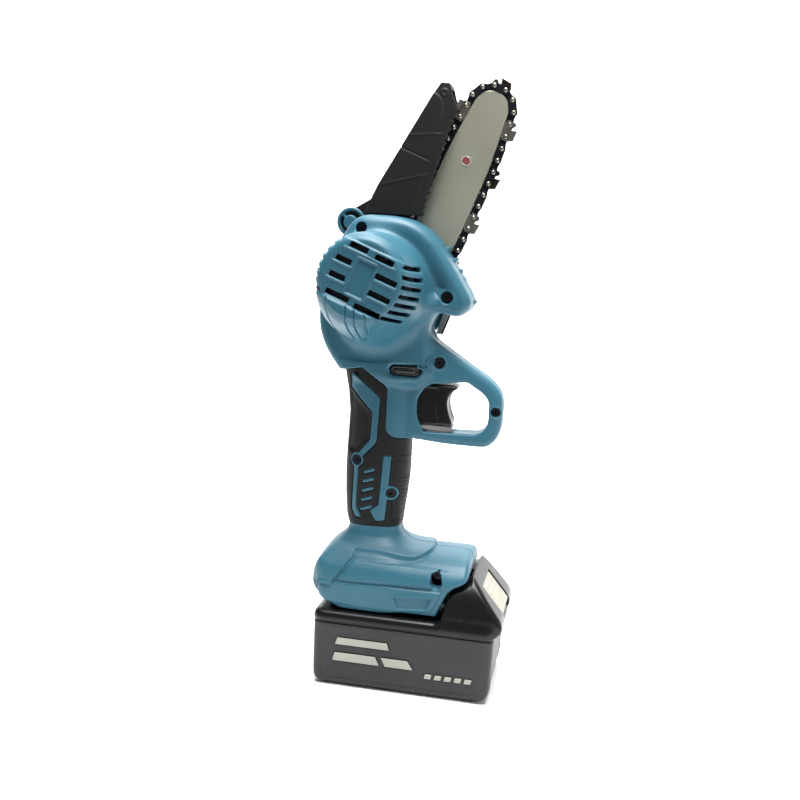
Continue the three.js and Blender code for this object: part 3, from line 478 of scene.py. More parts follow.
# Slots in the drum's face: where each starts and ends along its row, and the row's height.
FACE = (-30.4, 264.5)
FACE_SLOTS = [
    (-13.5, -1.9, 16.3), (3.1, 14.9, 15.6), (-18.3, -8.3, 6.2), (7.6, 21.3, 5.6), (-18.4, -8.2, -4.0),
    (7.6, 21.4, -5.0), (-16.3, -1.3, -14.3), (2.8, 19.3, -15.5),
]
FACE_LIPS = [
    (-16, 17, 13.3), (-19.5, -7.4, 3.5), (7.4, 21.6, 2.9), (-19.5, -7.4, -6.7), (7.4, 21.6, -7.7),
    (-17, 19, -17.6),
]
SKIRT_GROOVES = (-50.4, -38.0, -32.7, -26.2)


def drum(x, y, z):
    dx, dz = drum_frame(x, y, z)
    body = smooth_max(np.hypot(dx, dz) - drum_radius(y), DRUM["front"] + 0.6 - y, 2.5)
    u, v = turned_to_bar(x, z, *FACE)
    relief = 0
    for u0, u1, row in FACE_LIPS:
        relief = np.maximum(relief, raised(capsule(u, v, u0, row, u1, row, 0.45), 0.4) * 0.8)
    plate = polygon([(-5.9, -11.4, 1), (6.8, -11.4, 1), (6.8, 11.4, 1), (-5.9, 11.4, 1)], u, v)
    relief = np.maximum(relief, raised(np.abs(plate) - 0.5, 0.4)) - raised(plate + 0.8, 0.4) * 0.6
    relief = relief * raised(y + 56, 2)
    relief = relief - raised(18.8 - v, 0.4) * 1.3 * np.clip((-54 - y) / 4, 0, 1)
    right = np.interp(y, [-58, -36], [-22, -32])
    lower = -32 + 1.6 * np.sin(x * 0.55)
    skirt = np.maximum(np.maximum(v + 18, x - right), np.maximum(-58 - x, y - lower))
    grooves = 0
    for groove in SKIRT_GROOVES:
        grooves = np.maximum(grooves, raised(np.abs(x - groove) - 0.35, 0.3))
    return body - relief - raised(skirt, 0.4) * (1.8 - 1.5 * grooves)


def drum_cuts(x, y, z):
    u, v = turned_to_bar(x, z, *FACE)
    cuts = 1e9
    for u0, u1, row in FACE_SLOTS:
        slot = np.maximum(slab(u, u0, u1), np.abs(v - row) - 1.7)
        cuts = np.minimum(cuts, np.maximum(slot, y + 56))
    for i in range(7):
        row = 16.2 - 5.3 * i
        slot = np.maximum(np.abs(v - row) - 1.15, slab(y, -59.5, -29 - 1.6 * i))
        cuts = np.minimum(cuts, np.maximum(slot, 19.5 - np.abs(u)))
    return cuts


def rim_weight(x, z):
    """Where the fat rim stands up: over the top and down the nose, fading at the rear and the neck."""
    top = np.clip((z - 236) / 10, 0, 1)
    rear = np.clip((x + 62) / 12, 0, 1)
    return top * rear


def head(x, y, z):
    edge = polygon(HEAD, x, z)
    bead = np.clip(1 - ((-edge - 5.5) / 8.5) ** 2, 0, 1) ** 1.2
    lobe = raised(circle(x, z, 18, 252, 9), 4)
    near = 15.0 + rim_weight(x, z) * np.maximum(bead, lobe) * 4.9
    neck = raised(slab(z, 150, 236), 6)
    near = near + neck * 2.4 * np.clip(1 - ((x + 22) / 30) ** 2, 0, 1)
    near_side = smooth_max(edge, -y - near, 5)
    return smooth_max(near_side, y - HEAD_FAR, 2)


def loop_guard(x, y, z):
    ring = polygon(LOOP_OUTSIDE, x, z)
    thick = np.interp(x, [-6, 10, 30, 53], [11, 10, 9, 9])
    return smooth_max(ring, np.abs(y) - thick, 5)


def foot(x, y, z):
    side = polygon(FOOT_SIDE, x, z)
    ends = polygon(FOOT_ENDS, y, z)
    plan = polygon([(-62.8, -34, 22), (41.2, -34, 7), (41.2, 34, 7), (-62.8, 34, 22)], x, y)
    shell = smooth_max(smooth_max(side, ends, 4), plan, 4)
    across = np.abs(y)
    island = polygon(
        [(-90, -30), (-90, 24.3), (-3, 24.3, 9), (8, 21.6, 5), (14.6, 12, 8), (14.6, -30)], x, across,
    )
    flare = polygon([(-90, 67.8), (-48.1, 67.8), (-34.8, 85.5), (-34.8, 110), (-90, 110)], x, z)
    island = np.minimum(island, flare)
    panel = polygon(FOOT_PANEL, x, z)
    fade = np.clip((31 - x) / 9, 0, 1)
    gutter = capsule(x, z, -46, 70.3, 23.5, 71.3, 0.25)
    band = polygon([(-56, 68.9), (24.6, 69.6, 1), (19, 57, 1), (-10, 54), (-56, 56)], x, z)
    frame_edge = polygon([(-8.2, 65.6, 0.8), (22, 67.4, 0.8), (17.6, 56.4, 1), (-4.6, 54.6, 1)], x, z)
    inset = polygon([(-5.9, 63.5, 0.6), (18.5, 65.2, 0.6), (15.3, 57.9, 0.8), (-2.4, 56.2, 0.8)], x, z)
    sides = raised(24 - across, 2)
    relief = (
        raised(island, 0.4) * 1.9 - raised(np.abs(island - 1.2) - 0.6, 0.3) * 0.4
        + sides * fade * raised(panel, 0.4) * 1.5 - sides * fade * raised(gutter, 0.3) * 0.8
        + sides * (raised(band, 0.4) * 1.1 + raised(frame_edge, 0.35) * 0.5 - raised(inset, 0.35) * 1.6)
    )
    return shell - relief


def collar(x, y, z):
    spread = np.interp(z, [80, 88, 92, 97, 103.5], [12, 7.5, 3.5, 1.2, 0.6])
    return np.maximum(handle(x, y, z) + 1.0 - spread, z - 104)


def screw_wells(x, y, z):
    wells = 1e9
    for name, (sx, sz, r, _, floor) in SCREWS.items():
        well = np.maximum(circle(x, z, sx, sz, r), y - floor)
        if name == "head_rear":
            well = np.maximum(well, -24 - y)
        wells = np.minimum(wells, well)
    tear = polygon([(16.9, 76.5, 3), (21.8, 83, 0.6), (24.5, 76.5, 3), (20.8, 70.9, 3)], x, z)
    tear = np.minimum(tear, circle(x, z, 20.8, 75.6, 3.9))
    return np.minimum(wells, np.maximum(tear, y + 22))


def screw_rings(x, z):
    """The raised lip round each screw well."""
    lips = 0
    for sx, sz, r, lip, _ in SCREWS.values():
        if lip:
            lips = np.maximum(lips, raised(np.abs(circle(x, z, sx, sz, r + 0.9)) - 0.5, 0.5) * lip)
    return lips


def padlock(x, z):
    """A small embossed open padlock beside the lock button."""
    body = np.abs(polygon([(-0.8, 208.8), (5.0, 208.2), (4.6, 212.0), (-1.1, 212.6)], x, z)) - 0.4
    shackle = np.maximum(np.abs(circle(x, z, 6.6, 213.4, 1.7)) - 0.4, 212.6 - z)
    return np.minimum(body, shackle)


LOCK = (-16.0, 206.7, -2.4, 206.7)


def outside(x, y, z):
    """The whole blue outside: head, neck, handle core, trigger guard and foot, blended together."""
    upper = smooth_min(head(x, y, z), loop_guard(x, y, z), 5)
    blue_handle = np.maximum(handle(x, y, z) + 0.2, slab(z, 92, 208))
    upper = smooth_min(upper, blue_handle, 6)
    recess = polygon(LOOP_INSIDE, x, z)
    upper = smooth_max(upper, -recess, 2.5)
    lower = smooth_min(foot(x, y, z), collar(x, y, z), 13)
    return np.minimum(upper, lower)


def front_relief(x, y, z):
    near = raised(y + 6, 2)
    seat = raised(capsule(x, z, *LOCK, 4.4), 0.6) * 0.8
    return near * (screw_rings(x, z) - seat)


def near_skin(x, y, z):
    """The outside with the drum faired into it, tightly at the rear and softly towards the front."""
    fillet = np.interp(x, [-60, -42], [2, 11])
    return smooth_min(outside(x, y, z), np.maximum(drum(x, y, z), y + 12.5), fillet)


def padlock_mark(x, y, z):
    return np.maximum(padlock(x, z), np.abs(near_skin(x, y, z)) - 0.75)


def hollow(x, y, z, near):
    room = np.maximum(polygon(HEAD_INSIDE, x, z), slab(y, -11, HEAD_FAR - 3))
    end = MOTOR_ROOM["end"]
    motor = circle(x, z, MOTOR_ROOM["x"], MOTOR_ROOM["z"], MOTOR_ROOM["radius"])
    motor = np.maximum(motor, slab(y, end, 0))
    pocket = np.maximum(slab(y, -9.1, 9.1), np.maximum(slab(x, -16, 12), slab(z, 167.6, 198.8)))
    core = np.maximum(np.maximum(slab(x, -42, -10.5), slab(z, 70, 203)), slab(y, -10.5, 10.5))
    core = np.maximum(core, handle(x, y, z) + 4.5)
    under = np.maximum(slab(x, -57, 60), np.maximum(slab(y, -28.6, 28.6), slab(z, 56.2, 71)))
    dome = np.maximum(slab(x, -49, 26), np.maximum(slab(y, -24, 24), slab(z, 70, 80)))
    rails = np.maximum(slab(x, -60, 60), np.maximum(slab(y, -22.1, 22.1), slab(z, 40, 57)))
    catch = np.maximum(slab(x, 28, 46), np.maximum(slab(y, -9, 9), slab(z, 60, 80)))
    lock = np.maximum(capsule(x, z, *LOCK, 3.4), slab(y, -30, 30))
    rooms = [room, pocket, core, under, dome, rails, catch, lock]
    if near:
        dx, dz = drum_frame(x, y, z)
        drum_room = np.maximum(np.hypot(dx, dz) - drum_radius(y) + DRUM_WALL, slab(y, end, -16))
        rooms += [motor, drum_room, drum_cuts(x, y, z)]
    return np.minimum.reduce([np.broadcast_to(r, np.broadcast(x, y, z).shape) for r in rooms])


def blue_inlays(x, z):
    """The stripes, dashes and screw rings that stay blue inside the near grip."""
    shapes = [polygon(stripe, x, z) for stripe in STRIPES]
    shapes += [capsule(x, z, *dash, 1.1) for dash in DASHES]
    shapes += [circle(x, z, -38, 146.5, 4.6), circle(x, z, -14.6, 126, 4.8)]
    return np.minimum.reduce(shapes)


def near_shell(x, y, z):
    blue = near_skin(x, y, z) - front_relief(x, y, z)
    grip = np.maximum(grip_area(x, z), -handle(x, y, z) - GRIP_DEPTH)
    cut = np.maximum(grip, -blue_inlays(x, z))
    solid = np.maximum(blue, -cut)
    solid = np.maximum(solid, -screw_wells(x, y, z))
    solid = np.maximum(solid, -hollow(x, y, z, True))
    return np.maximum(solid, y + PARTING)


def grip(x, y, z, near):
    body = handle(x, y, z)
    area = grip_area(x, z) + PARTING
    back_ribs = raised(np.abs(np.mod(z, 1.9) - 0.95) - 0.42, 0.2) * raised(slab(z, 112, 178), 1)
    back_ribs = back_ribs * raised(x + 44.6, 0.6)
    front_ribs = raised(np.abs(np.mod(z, 2.6) - 1.3) - 0.5, 0.25) * raised(slab(z, 104, 139), 1)
    front_ribs = front_ribs * raised(-8.6 - x, 0.6)
    panel = np.abs(polygon([(-13.4, 148.4, 1), (-3, 147), (-3, 108), (-14.6, 108, 1)], x, z)) - 0.4
    seam = np.abs(capsule(x, z, -12, 152.5, 0, 149.5, 0.01)) - 0.35
    relief = 0.45 * back_ribs + 0.5 * front_ribs + 0.5 * raised(panel, 0.3) + 0.6 * raised(seam, 0.3)
    relief = relief + 1.1 * raised(polygon(POCKET, x, z), 1.4)
    solid = smooth_max(np.maximum(body + relief, -body - 1.8), area, 0.8)
    if near:
        solid = np.maximum(solid, -blue_inlays(x, z) + PARTING)
        return np.maximum(solid, y + PARTING)
    return np.maximum(solid, PARTING - y)


def grip_near(x, y, z):
    return grip(x, y, z, True)


def grip_far(x, y, z):
    return grip(x, y, z, False)


BUMPER_RIBS = [(10.6, 284.4), (15.4, 277.6), (18.6, 270.6), (20.6, 265.4), (23.8, 258.2), (28.6, 251.4)]


def bumper(x, y, z):
    ribs = 1e9
    for rib_x, rib_z in BUMPER_RIBS:
        block = polygon([(-6, -3.4), (1.6, 1.2, 0.6), (2.4, -0.6, 0.6), (-4, -5)], x - rib_x, z - rib_z)
        ribs = np.minimum(ribs, block)
    return smooth_max(ribs, slab(y, 2.6, 11.2), 0.8)


def far_shell(x, y, z):
    blue = smooth_min(outside(x, y, z), bumper(x, y, z), 1.5)
    blue = np.maximum(blue, -np.maximum(np.maximum(grip_area(x, z), -handle(x, y, z) - GRIP_DEPTH), -y))
    stud_boss = np.maximum(circle(x, z, *STUD, 8), slab(y, 3, 11))
    bearing_seat = np.maximum(circle(x, z, *SPROCKET, 13.5), slab(y, 2, 10.7))
    solid = np.maximum(blue, -hollow(x, y, z, False))
    solid = np.minimum(np.minimum(solid, stud_boss), bearing_seat)
    bores = np.minimum(
        np.maximum(circle(x, z, *SPROCKET, 10), slab(y, 0, 20)),
        np.maximum(circle(x, z, *STUD, 4), slab(y, 5, 20)),
    )
    pivot = np.maximum(circle(x, z, *GUARD_PIVOT, 10.4), 5.2 - y)
    solid = np.maximum(np.maximum(solid, -bores), -pivot)
    return np.maximum(solid, PARTING - y)


# ---------- upper guard and its pivot ----------
GUARD_SIDE = [
    (-44.5, 303.6), (-36.5, 321), (-22.6, 345.7), (-3.1, 380.4, 1.5), (0.2, 385.2, 0.6),
    (5.4, 384.8, 0.6), (7.2, 377.9, 1), (10.2, 371, 1.2), (9.4, 362.4), (3.5, 343.2), (-7.2, 303.6),
]
GUARD_INSIDE = [(-40, 300), (-33.2, 321), (-19.4, 345), (-0.3, 379), (3, 382), (30, 382), (30, 300)]
GUARD_STEP = [
    (-46, 303), (-38, 321), (-24, 345), (-4, 379.6, 2), (0.6, 376, 3), (2.2, 372, 3), (2.2, 364),
    (-14, 303),
]
GUARD_SKIRT = [(-42, 298, 1), (-8.5, 298, 1), (-8.5, 305), (-38, 305)]
GUARD_ARM = [(-61, 300), (-49, 290.5), (-45.5, 297), (-30, 303.6), (-28, 314), (-41, 314), (-56, 305)]
GUARD_ARM_END = [(-36, 290), (0, 290), (0, 330), (-30, 330)]


def upper_guard(x, y, z):
    side = polygon(GUARD_SIDE, x, z)
    tooth = np.mod(z - 306 + 0.28 * (x + 8), 4.7) / 4.7
    chain_edge = raised(slab(z, 306, 367), 1) * raised(0.282 * (z - 303.6) - 14 - x, 1) * raised(y - 9, 1)
    shell = smooth_max(side + 1.7 * (1 - tooth) * chain_edge - 0.3, slab(y, 5.2, 23.2), 0.8)
    room = np.maximum(polygon(GUARD_INSIDE, x, z), slab(y, 7.0, 21.4))
    near = raised(y - 9, 1)
    relief = (
        raised(polygon(GUARD_STEP, x, z), 0.35) * 0.55
        + raised(capsule(x, z, -18, 352.9, 1.4, 354.2, 0.3), 0.35) * 0.55
        + raised(capsule(x, z, -35.5, 321.6, -5.4, 329.1, 0.3), 0.35) * 0.55
        - raised(capsule(x, z, -23.6, 345.4, -3.9, 337.6, 0.35), 0.4) * 0.6
        + raised(circle(x, z, 2.4, 379.3, 2.3), 0.4) * 0.7
        - raised(circle(x, z, 2.4, 379.3, 1.2), 0.3) * 0.6
    )
    arm = np.maximum(polygon(GUARD_ARM, x, z), -polygon(GUARD_ARM_END, x, z))
    arm = smooth_max(arm, slab(y, 12.4, 18), 1)
    hub = smooth_max(circle(x, z, *GUARD_PIVOT, 8), slab(y, 9.4, 20.4), 1)
    solid = np.minimum(np.minimum(np.maximum(shell, -room) - relief * near * 1.1, arm), hub)
    solid = np.minimum(solid, np.maximum(polygon(GUARD_SKIRT, x, z), slab(y, 21.4, 23.2)))
    bore = np.maximum(circle(x, z, *GUARD_PIVOT, 2.3), slab(y, -9, 60))
    coil_room = np.maximum(circle(x, z, *GUARD_PIVOT, 5.6), slab(y, 12.5, 22))
    return np.maximum(np.maximum(solid, -bore), -coil_room)


def pivot_ring(x, y, z):
    radius = np.hypot(x - GUARD_PIVOT[0], z - GUARD_PIVOT[1])
    angle = np.arctan2(z - GUARD_PIVOT[1], x - GUARD_PIVOT[0])
    solid = smooth_max(np.abs(radius - 8.2) - 1.15, slab(y, 5.6, 9.1), 1.2)
    for a in (0.35, 2.45, 4.55):
        off = np.sin(angle - a) * radius
        spoke = np.maximum(np.abs(off) - 0.8, np.maximum(radius - 8, -np.cos(angle - a)))
        solid = smooth_min(solid, np.maximum(spoke, slab(y, 6, 8.6)), 0.8)
    cap = smooth_max(radius - 4.4, slab(y, 3.1, 9.1), 1.0)
    pin_room = np.minimum(np.maximum(radius - 3.6, slab(y, 3.9, 5.5)), np.maximum(radius - 2.3, 3.9 - y))
    return np.maximum(np.minimum(solid, cap), -pin_room)


# ---------- trigger, lock button ----------
TRIGGER_SIDE = [
    (-6, 172.2), (20.4, 171.8, 1.5), (21.6, 174, 2), (18.7, 180, 4), (17.3, 187.5, 5), (19.6, 193.2, 4),
    (24.4, 197, 1.2), (21, 198.2, 1), (-6, 198.2),
]


def trigger(x, y, z):
    side = polygon(TRIGGER_SIDE, x, z)
    cheek = slab(y, -8.6, 8.6)
    groove = raised(np.abs(y) - 5.5, 1.5) * raised(14.5 - x, 1.0) * raised(slab(z, 175, 195), 2)
    solid = smooth_max(side + 0.7 * groove, cheek, 2.2)
    side_step = raised(polygon([(-8, 174), (12, 174, 2), (10, 186, 3), (12, 196, 2), (-8, 196)], x, z), 0.5)
    solid = solid + 0.5 * side_step * raised(7.5 - np.abs(y), 0.5)
    seat = np.maximum(slab(x, -8, 0), np.maximum(slab(y, -3.2, 3.2), slab(z, 181.8, 188.2)))
    return np.maximum(solid, -seat)


def lock_button(x, y, z):
    pad = capsule(x, z, -15.55, 206.7, -2.85, 206.7, 3.05)
    inner = capsule(x, z, -14.6, 206.7, -3.8, 206.7, 1.35)
    ends = slab(y, -17.4, 13.2)
    ring = raised(np.abs(pad + 0.75) - 0.35, 0.35)
    face = 0.9 * (1 - np.maximum(ring, raised(inner, 0.5))) * raised(y + 14, 0.6)
    return smooth_max(pad, ends + face, 1.0)


# ---------- battery ----------
BATTERY = {"back": -58.0, "front": 60.6, "half": 37.5, "seam": 43.0, "deck": 50.6, "corner": 8}
HUMP = [
    (24, 46), (28, 65, 2), (31, 69.2, 3), (41.8, 75.6, 1), (42.4, 79.2, 2), (46.0, 75.6, 4),
    (64.6, 54.0, 5), (64.4, 47, 4), (57, 43.4),
]
HUMP_ENDS = [
    (-36, 40), (-36, 56, 5), (-29.5, 70, 6), (-20.5, 80, 3), (29, 80, 4), (34, 70, 6), (36, 58, 5),
    (36, 40),
]
HUMP_ROOM = [
    (27, 40), (30.5, 62.5), (33, 66), (42, 70.6), (43.5, 68.3), (55.9, 53.9), (60.6, 50), (61, 46),
    (55, 40),
]
HUMP_ROOM_ENDS = [(-33, 30), (-33, 55), (-27, 67), (-20, 76), (20, 76), (27, 67), (33, 55), (33, 30)]
BUTTON = {"x": 54.6, "z": 63.4, "tilt": math.radians(49), "half": 16.5}


def along_slope(x, z):
    """Coordinates along and out of the slope that carries the release button."""
    dx, dz = x - BUTTON["x"], z - BUTTON["z"]
    c, s = math.cos(BUTTON["tilt"]), math.sin(BUTTON["tilt"])
    return dx * c - dz * s, dx * s + dz * c


def battery_plan(x, y, inset=0.0):
    back, front, half, corner = (BATTERY[k] for k in ("back", "front", "half", "corner"))
    back, front, half = back + inset, front - inset, half - inset
    corners = [(back, -half), (front, -half), (front, half), (back, half)]
    return polygon([(*place, corner) for place in corners], x, y)


# Plain bars on the battery's side: two slanted ones and a row of dashes.
BATTERY_MARKS = [
    [(-42, 28.6), (-6, 28.6), (-7.6, 33.6), (-40.4, 33.6)],
    [(-43.6, 17.4), (-12, 17.4), (-15, 23.4), (-42, 23.4)],
    [(-8.6, 17.4), (10, 17.4), (6, 23.4), (-11.6, 23.4)],
]
for at in (17 + 6.4 * i for i in range(5)):
    BATTERY_MARKS.append([(at, 13), (at + 4.6, 13), (at + 5.4, 16.4), (at + 0.8, 16.4)])


def battery_marks(x, y, z):
    bars = np.minimum.reduce([polygon(mark, x, z) for mark in BATTERY_MARKS])
    wall = battery_plan(x, y) + (BATTERY["seam"] - z) * 0.015
    return np.maximum(np.maximum(bars + 0.15, np.abs(wall + 0.45) - 0.35), y + 30)


def battery_lower(x, y, z):
    draft = (BATTERY["seam"] - z) * 0.015
    plan = battery_plan(x, y) + draft
    profile = polygon([(-57.8, 50), (-57.4, 0, 11), (59.6, 0, 13), (60.4, 50)], x, z)
    solid = smooth_max(smooth_max(plan, profile, 2), smooth_max(np.abs(y) - 37.3, -z, 9), 2)
    panel = polygon([(-53, 38.4, 3), (52, 38.4, 3), (50.5, 5.5, 5), (-50.5, 5.5, 5)], x, z)
    end_panel = polygon([(-30, 38, 3), (30, 38, 3), (28, 6, 4), (-28, 6, 4)], y, z)
    flat = raised(34 - np.abs(y), 0.5) * raised(panel, 0.3)
    flat = np.maximum(flat, raised(54 - np.abs(x), 0.5) * raised(end_panel, 0.3))
    marks = np.minimum.reduce([polygon(mark, x, z) for mark in BATTERY_MARKS])
    near = raised(y + 30, 1)
    solid = solid + 0.45 * flat + 0.5 * near * raised(marks - 0.1, 0.2)
    solid = np.maximum(solid, z - BATTERY["seam"] + 0.4)
    room = np.maximum(battery_plan(x, y, CASE_WALL) + draft, CASE_WALL - z)
    return np.maximum(solid, -room)


def battery_upper(x, y, z):
    plan = battery_plan(x, y)
    bead = raised(slab(z, 43.3, 44.6), 0.5) * 0.5
    deck = smooth_max(plan + bead, z - BATTERY["deck"], 5.5)
    hump = smooth_max(polygon(HUMP, x, z), polygon(HUMP_ENDS, y, z), 3)
    brow = polygon([(40, 44), (58, 44), (63, 48, 4), (60, 56, 3), (40, 56)], x, z)
    brow = smooth_max(brow, np.abs(y) - 35.5, 4)
    solid = smooth_min(deck, np.minimum(hump, brow), 3.5)
    rails = np.minimum(
        np.maximum(slab(x, -50, 25), np.maximum(np.abs(y) - 21.5, slab(z, 46, 58))),
        np.maximum(slab(x, -50, 27), np.maximum(np.abs(y) - 26, slab(z, 57, 61))),
    )
    solid = np.minimum(solid, rails)
    u, w = along_slope(x, z)
    bay = np.maximum(slab(u, -10.2, 17), np.maximum(np.abs(y) - BUTTON["half"] - 0.5, -2.8 - w))
    latch = np.maximum(slab(x, 29.4, 40.6), np.maximum(np.abs(y) - 7.4, slab(z, 60, 90)))
    room = np.maximum(np.maximum(battery_plan(x, y, CASE_WALL), z - 48), -z)
    inner = np.maximum(polygon(HUMP_ROOM, x, z), polygon(HUMP_ROOM_ENDS, y, z))
    tunnel = np.maximum(slab(x, -47.6, 30), np.maximum(np.abs(y) - 18, slab(z, 47, 58.6)))
    slots = np.maximum(slab(x, -60, -22), np.maximum(np.abs(np.abs(y) - 10) - 1, slab(z, 50.6, 63)))
    stem = np.maximum(slab(u, -9.8, -1.6), np.maximum(np.abs(y) - 4.6, slab(w, -12, 0)))
    for gap in (bay, latch, room, inner, tunnel, slots, stem):
        solid = np.maximum(solid, -gap)
    return np.maximum(solid, BATTERY["seam"] - z)


def release_button(x, y, z):
    u, w = along_slope(x, z)
    plate = np.maximum(slab(u, -9.7, 12.6), np.abs(y) - BUTTON["half"])
    ribs = 0
    for centre in (-6, -2, 2):
        ribs = np.maximum(ribs, raised(np.maximum(np.abs(u - centre) - 0.5, np.abs(y) - 11.5), 0.4))
    return smooth_max(plate, slab(w, -2.2, 0.9) - 0.5 * ribs * raised(-w, 0.5), 1.0)


# ---------- sprocket cover on the far side ----------
COVER = [
    (-58, 250, 8), (-56, 270, 6), (-44, 289, 5), (2, 296, 4), (13, 278, 3), (11.5, 256), (12, 246, 4),
    (6, 231, 6), (-10, 223, 8), (-40, 223, 8), (-56, 234, 8),
]


def sprocket_cover(x, y, z):
    side = polygon(COVER, x, z)
    dome = 1.6 * np.clip(1 + side / 20, 0, 1)
    shell = smooth_max(side, slab(y, HEAD_FAR + 0.3, 34 - dome), 6)
    near = np.maximum(side, slab(y, HEAD_FAR + 0.3, 24))
    shell = np.minimum(shell, near)
    seat = raised(circle(x, z, *STUD, 12.5), 0.6) * raised(28 - y, 1)
    ribs = 0
    for i in range(4):
        ribs = np.maximum(ribs, raised(capsule(x, z, -50 + 7 * i, 236, -42 + 7 * i, 262, 1.3), 0.5))
    border = raised(np.abs(side + 5) - 0.6, 0.5)
    shell = shell + (1.2 * seat + 0.6 * border - 0.9 * ribs) * raised(27 - y, 1)
    u, v = turned_to_bar(x, z, *SPROCKET)
    chain_way = np.minimum(circle(u, v, 0, 0, 23.4), np.maximum(slab(u, -26, 34), slab(v, 4, 80)))
    chain_way = np.maximum(chain_way, slab(y, 5, 30))
    saving = np.maximum(np.maximum(slab(x, -54, -20), slab(z, 238, 262)), slab(y, 5, 30))
    arm_way = np.maximum(polygon([(-66, 281), (-36, 281), (-36, 320), (-66, 320)], x, z), slab(y, 5, 25))
    solid = np.maximum(np.maximum(np.maximum(shell, -chain_way), -saving), -arm_way)
    boss = np.maximum(circle(x, z, *STUD, 8), slab(y, BAR_Y + BAR_THICK / 2 + 0.3, 31))
    solid = np.minimum(solid, boss)
    bores = np.minimum(circle(x, z, *STUD, 4.0), circle(x, z, *ADJUSTER, 3.2))
    return np.maximum(solid, -bores)


def bar_nut(x, y, z):
    radius = np.hypot(x - STUD[0], z - STUD[1])
    angle = np.arctan2(z - STUD[1], x - STUD[0])
    knob = smooth_max(radius - 9.4 - 1.1 * np.cos(6 * angle), slab(y, 34.3, 43.9), 2.0)
    knob = knob + 0.7 * raised(np.abs(radius - 5.4) - 0.5, 0.4) * raised(42 - y, 0.5)
    return np.maximum(knob, -np.maximum(radius - 4, y - 41.5))


# ---------- small shapes that are turned or swept ----------


def turned(name, body, profile, centre, look, slot, steps=48):
    """A closed ring or disc: profile is (radius, y) round an axis along Y at centre (x, z)."""
    points, faces = [], []
    for r, y in profile:
        for i in range(steps):
            a = 2 * math.pi * i / steps
            points.append((centre[0] + r * math.cos(a), y, centre[1] + r * math.sin(a)))
    rows = len(profile)
    for j in range(rows):
        for i in range(steps):
            here, there = j * steps, ((j + 1) % rows) * steps
            k = (i + 1) % steps
            faces.append((here + i, there + i, there + k, here + k))
    piece = mesh_object(name, points, faces, look)
    smooth_by_angle(piece)
    attach(piece, body, slot=slot)


def smooth_by_angle(piece):
    """Keeps the sharp edges of a smooth-shaded mesh sharp."""
    shape = bmesh.new()
    shape.from_mesh(piece.data)
    bmesh.ops.recalc_face_normals(shape, faces=shape.faces)
    for edge in shape.edges:
        edge.smooth = edge.calc_face_angle(0) < SHARP
    shape.to_mesh(piece.data)
    shape.free()


# ---------- guide bar and chain, drawn in the bar's own plane ----------
BAR_SIDE = [
    (12, 18.6), (13.4, 24), (14.4, 34), (15, 48), (15.1, 64), (15, 80), (14.8, 94), (13.7, 108),
    (12.4, 120),
]


def bar_to_frame(u, v):
    c, s = math.cos(BAR_TILT), math.sin(BAR_TILT)
    return SPROCKET[0] + u * c + v * s, SPROCKET[1] - u * s + v * c


def guide_bar(u, y, v):
    side = list(BAR_SIDE)
    r = BAR_NOSE_RADIUS
    turns = np.linspace(0.12, math.pi - 0.12, 24)
    nose = [(r * math.cos(a), BAR_LENGTH + r * math.sin(a)) for a in turns]
    outline = side + nose + [(-w, at) for w, at in reversed(side)]
    edge = polygon(outline, u, v)
    half = BAR_THICK / 2
    plate = smooth_max(edge, np.abs(y - BAR_Y) - half, 0.5)
    groove = np.maximum(-edge - 5.2, np.abs(y - BAR_Y) - GROOVE_HALF)
    return plate, groove, edge


def bar_solid(u, y, v):
    plate, groove, edge = guide_bar(u, y, v)
    nose_room = np.maximum(circle(u, v, 0, BAR_LENGTH, 9.2), np.abs(y - BAR_Y) - GROOVE_HALF)
    stud_slot = capsule(u, v, 0, 14.2, 0, STUD_U + 4.9, 4.1)
    holes = np.minimum(circle(u, v, 0, STUD_U + 14, 1.7), circle(u, v, -0.8, BAR_LENGTH - 34.5, 2.75))
    holes = np.minimum(holes, np.maximum(circle(u, v, 0, BAR_LENGTH, 2.8), np.abs(y - BAR_Y) - 1.0))
    rim = raised(np.abs(edge + 1.4) - 0.3, 0.3) * 0.12 * raised(1.2 - np.abs(y - BAR_Y), 0.3)
    solid = plate + rim
    for gap in (groove, nose_room, stud_slot, holes):
        solid = np.maximum(solid, -gap)
    return solid


class Plates:
    """Collects flat links with chamfered rims into one mesh."""

    def __init__(self):
        self.points, self.faces = [], []

    def add(self, outline, y0, y1, place, chamfer=0.2):
        outline = np.asarray(outline, float)
        n = len(outline)
        middle = outline.mean(axis=0)
        inner = middle + (outline - middle) * (1 - chamfer / np.abs(outline - middle).max())
        base = len(self.points)
        for shape, y in ((inner, y0), (outline, y0 + chamfer), (outline, y1 - chamfer), (inner, y1)):
            self.points += [place(x, y, z) for x, z in shape]
        for layer in range(3):
            a, b = base + layer * n, base + (layer + 1) * n
            self.faces += [(a + i, b + i, b + (i + 1) % n, a + (i + 1) % n) for i in range(n)]
        self.faces.append([base + i for i in range(n)])
        self.faces.append([base + 3 * n + i for i in reversed(range(n))])

    def object(self, name, body, look, slot, stands_for=()):
        piece = mesh_object(name, self.points, self.faces, look)
        smooth_by_angle(piece)
        attach(piece, body, stands_for, slot)


def rivet_path():
    side = [(w + RIVET_RADIUS["side"], at) for w, at in BAR_SIDE[1:]]
    r = RIVET_RADIUS["drive"]
    drive = [(r * math.cos(a), r * math.sin(a)) for a in np.linspace(-math.pi, 0, 40)]
    r = RIVET_RADIUS["nose"]
    turns = np.linspace(0.05, math.pi - 0.05, 40)
    nose = [(r * math.cos(a), BAR_LENGTH + r * math.sin(a)) for a in turns]
    return np.array(drive + side + nose + [(-w, at) for w, at in reversed(side)])


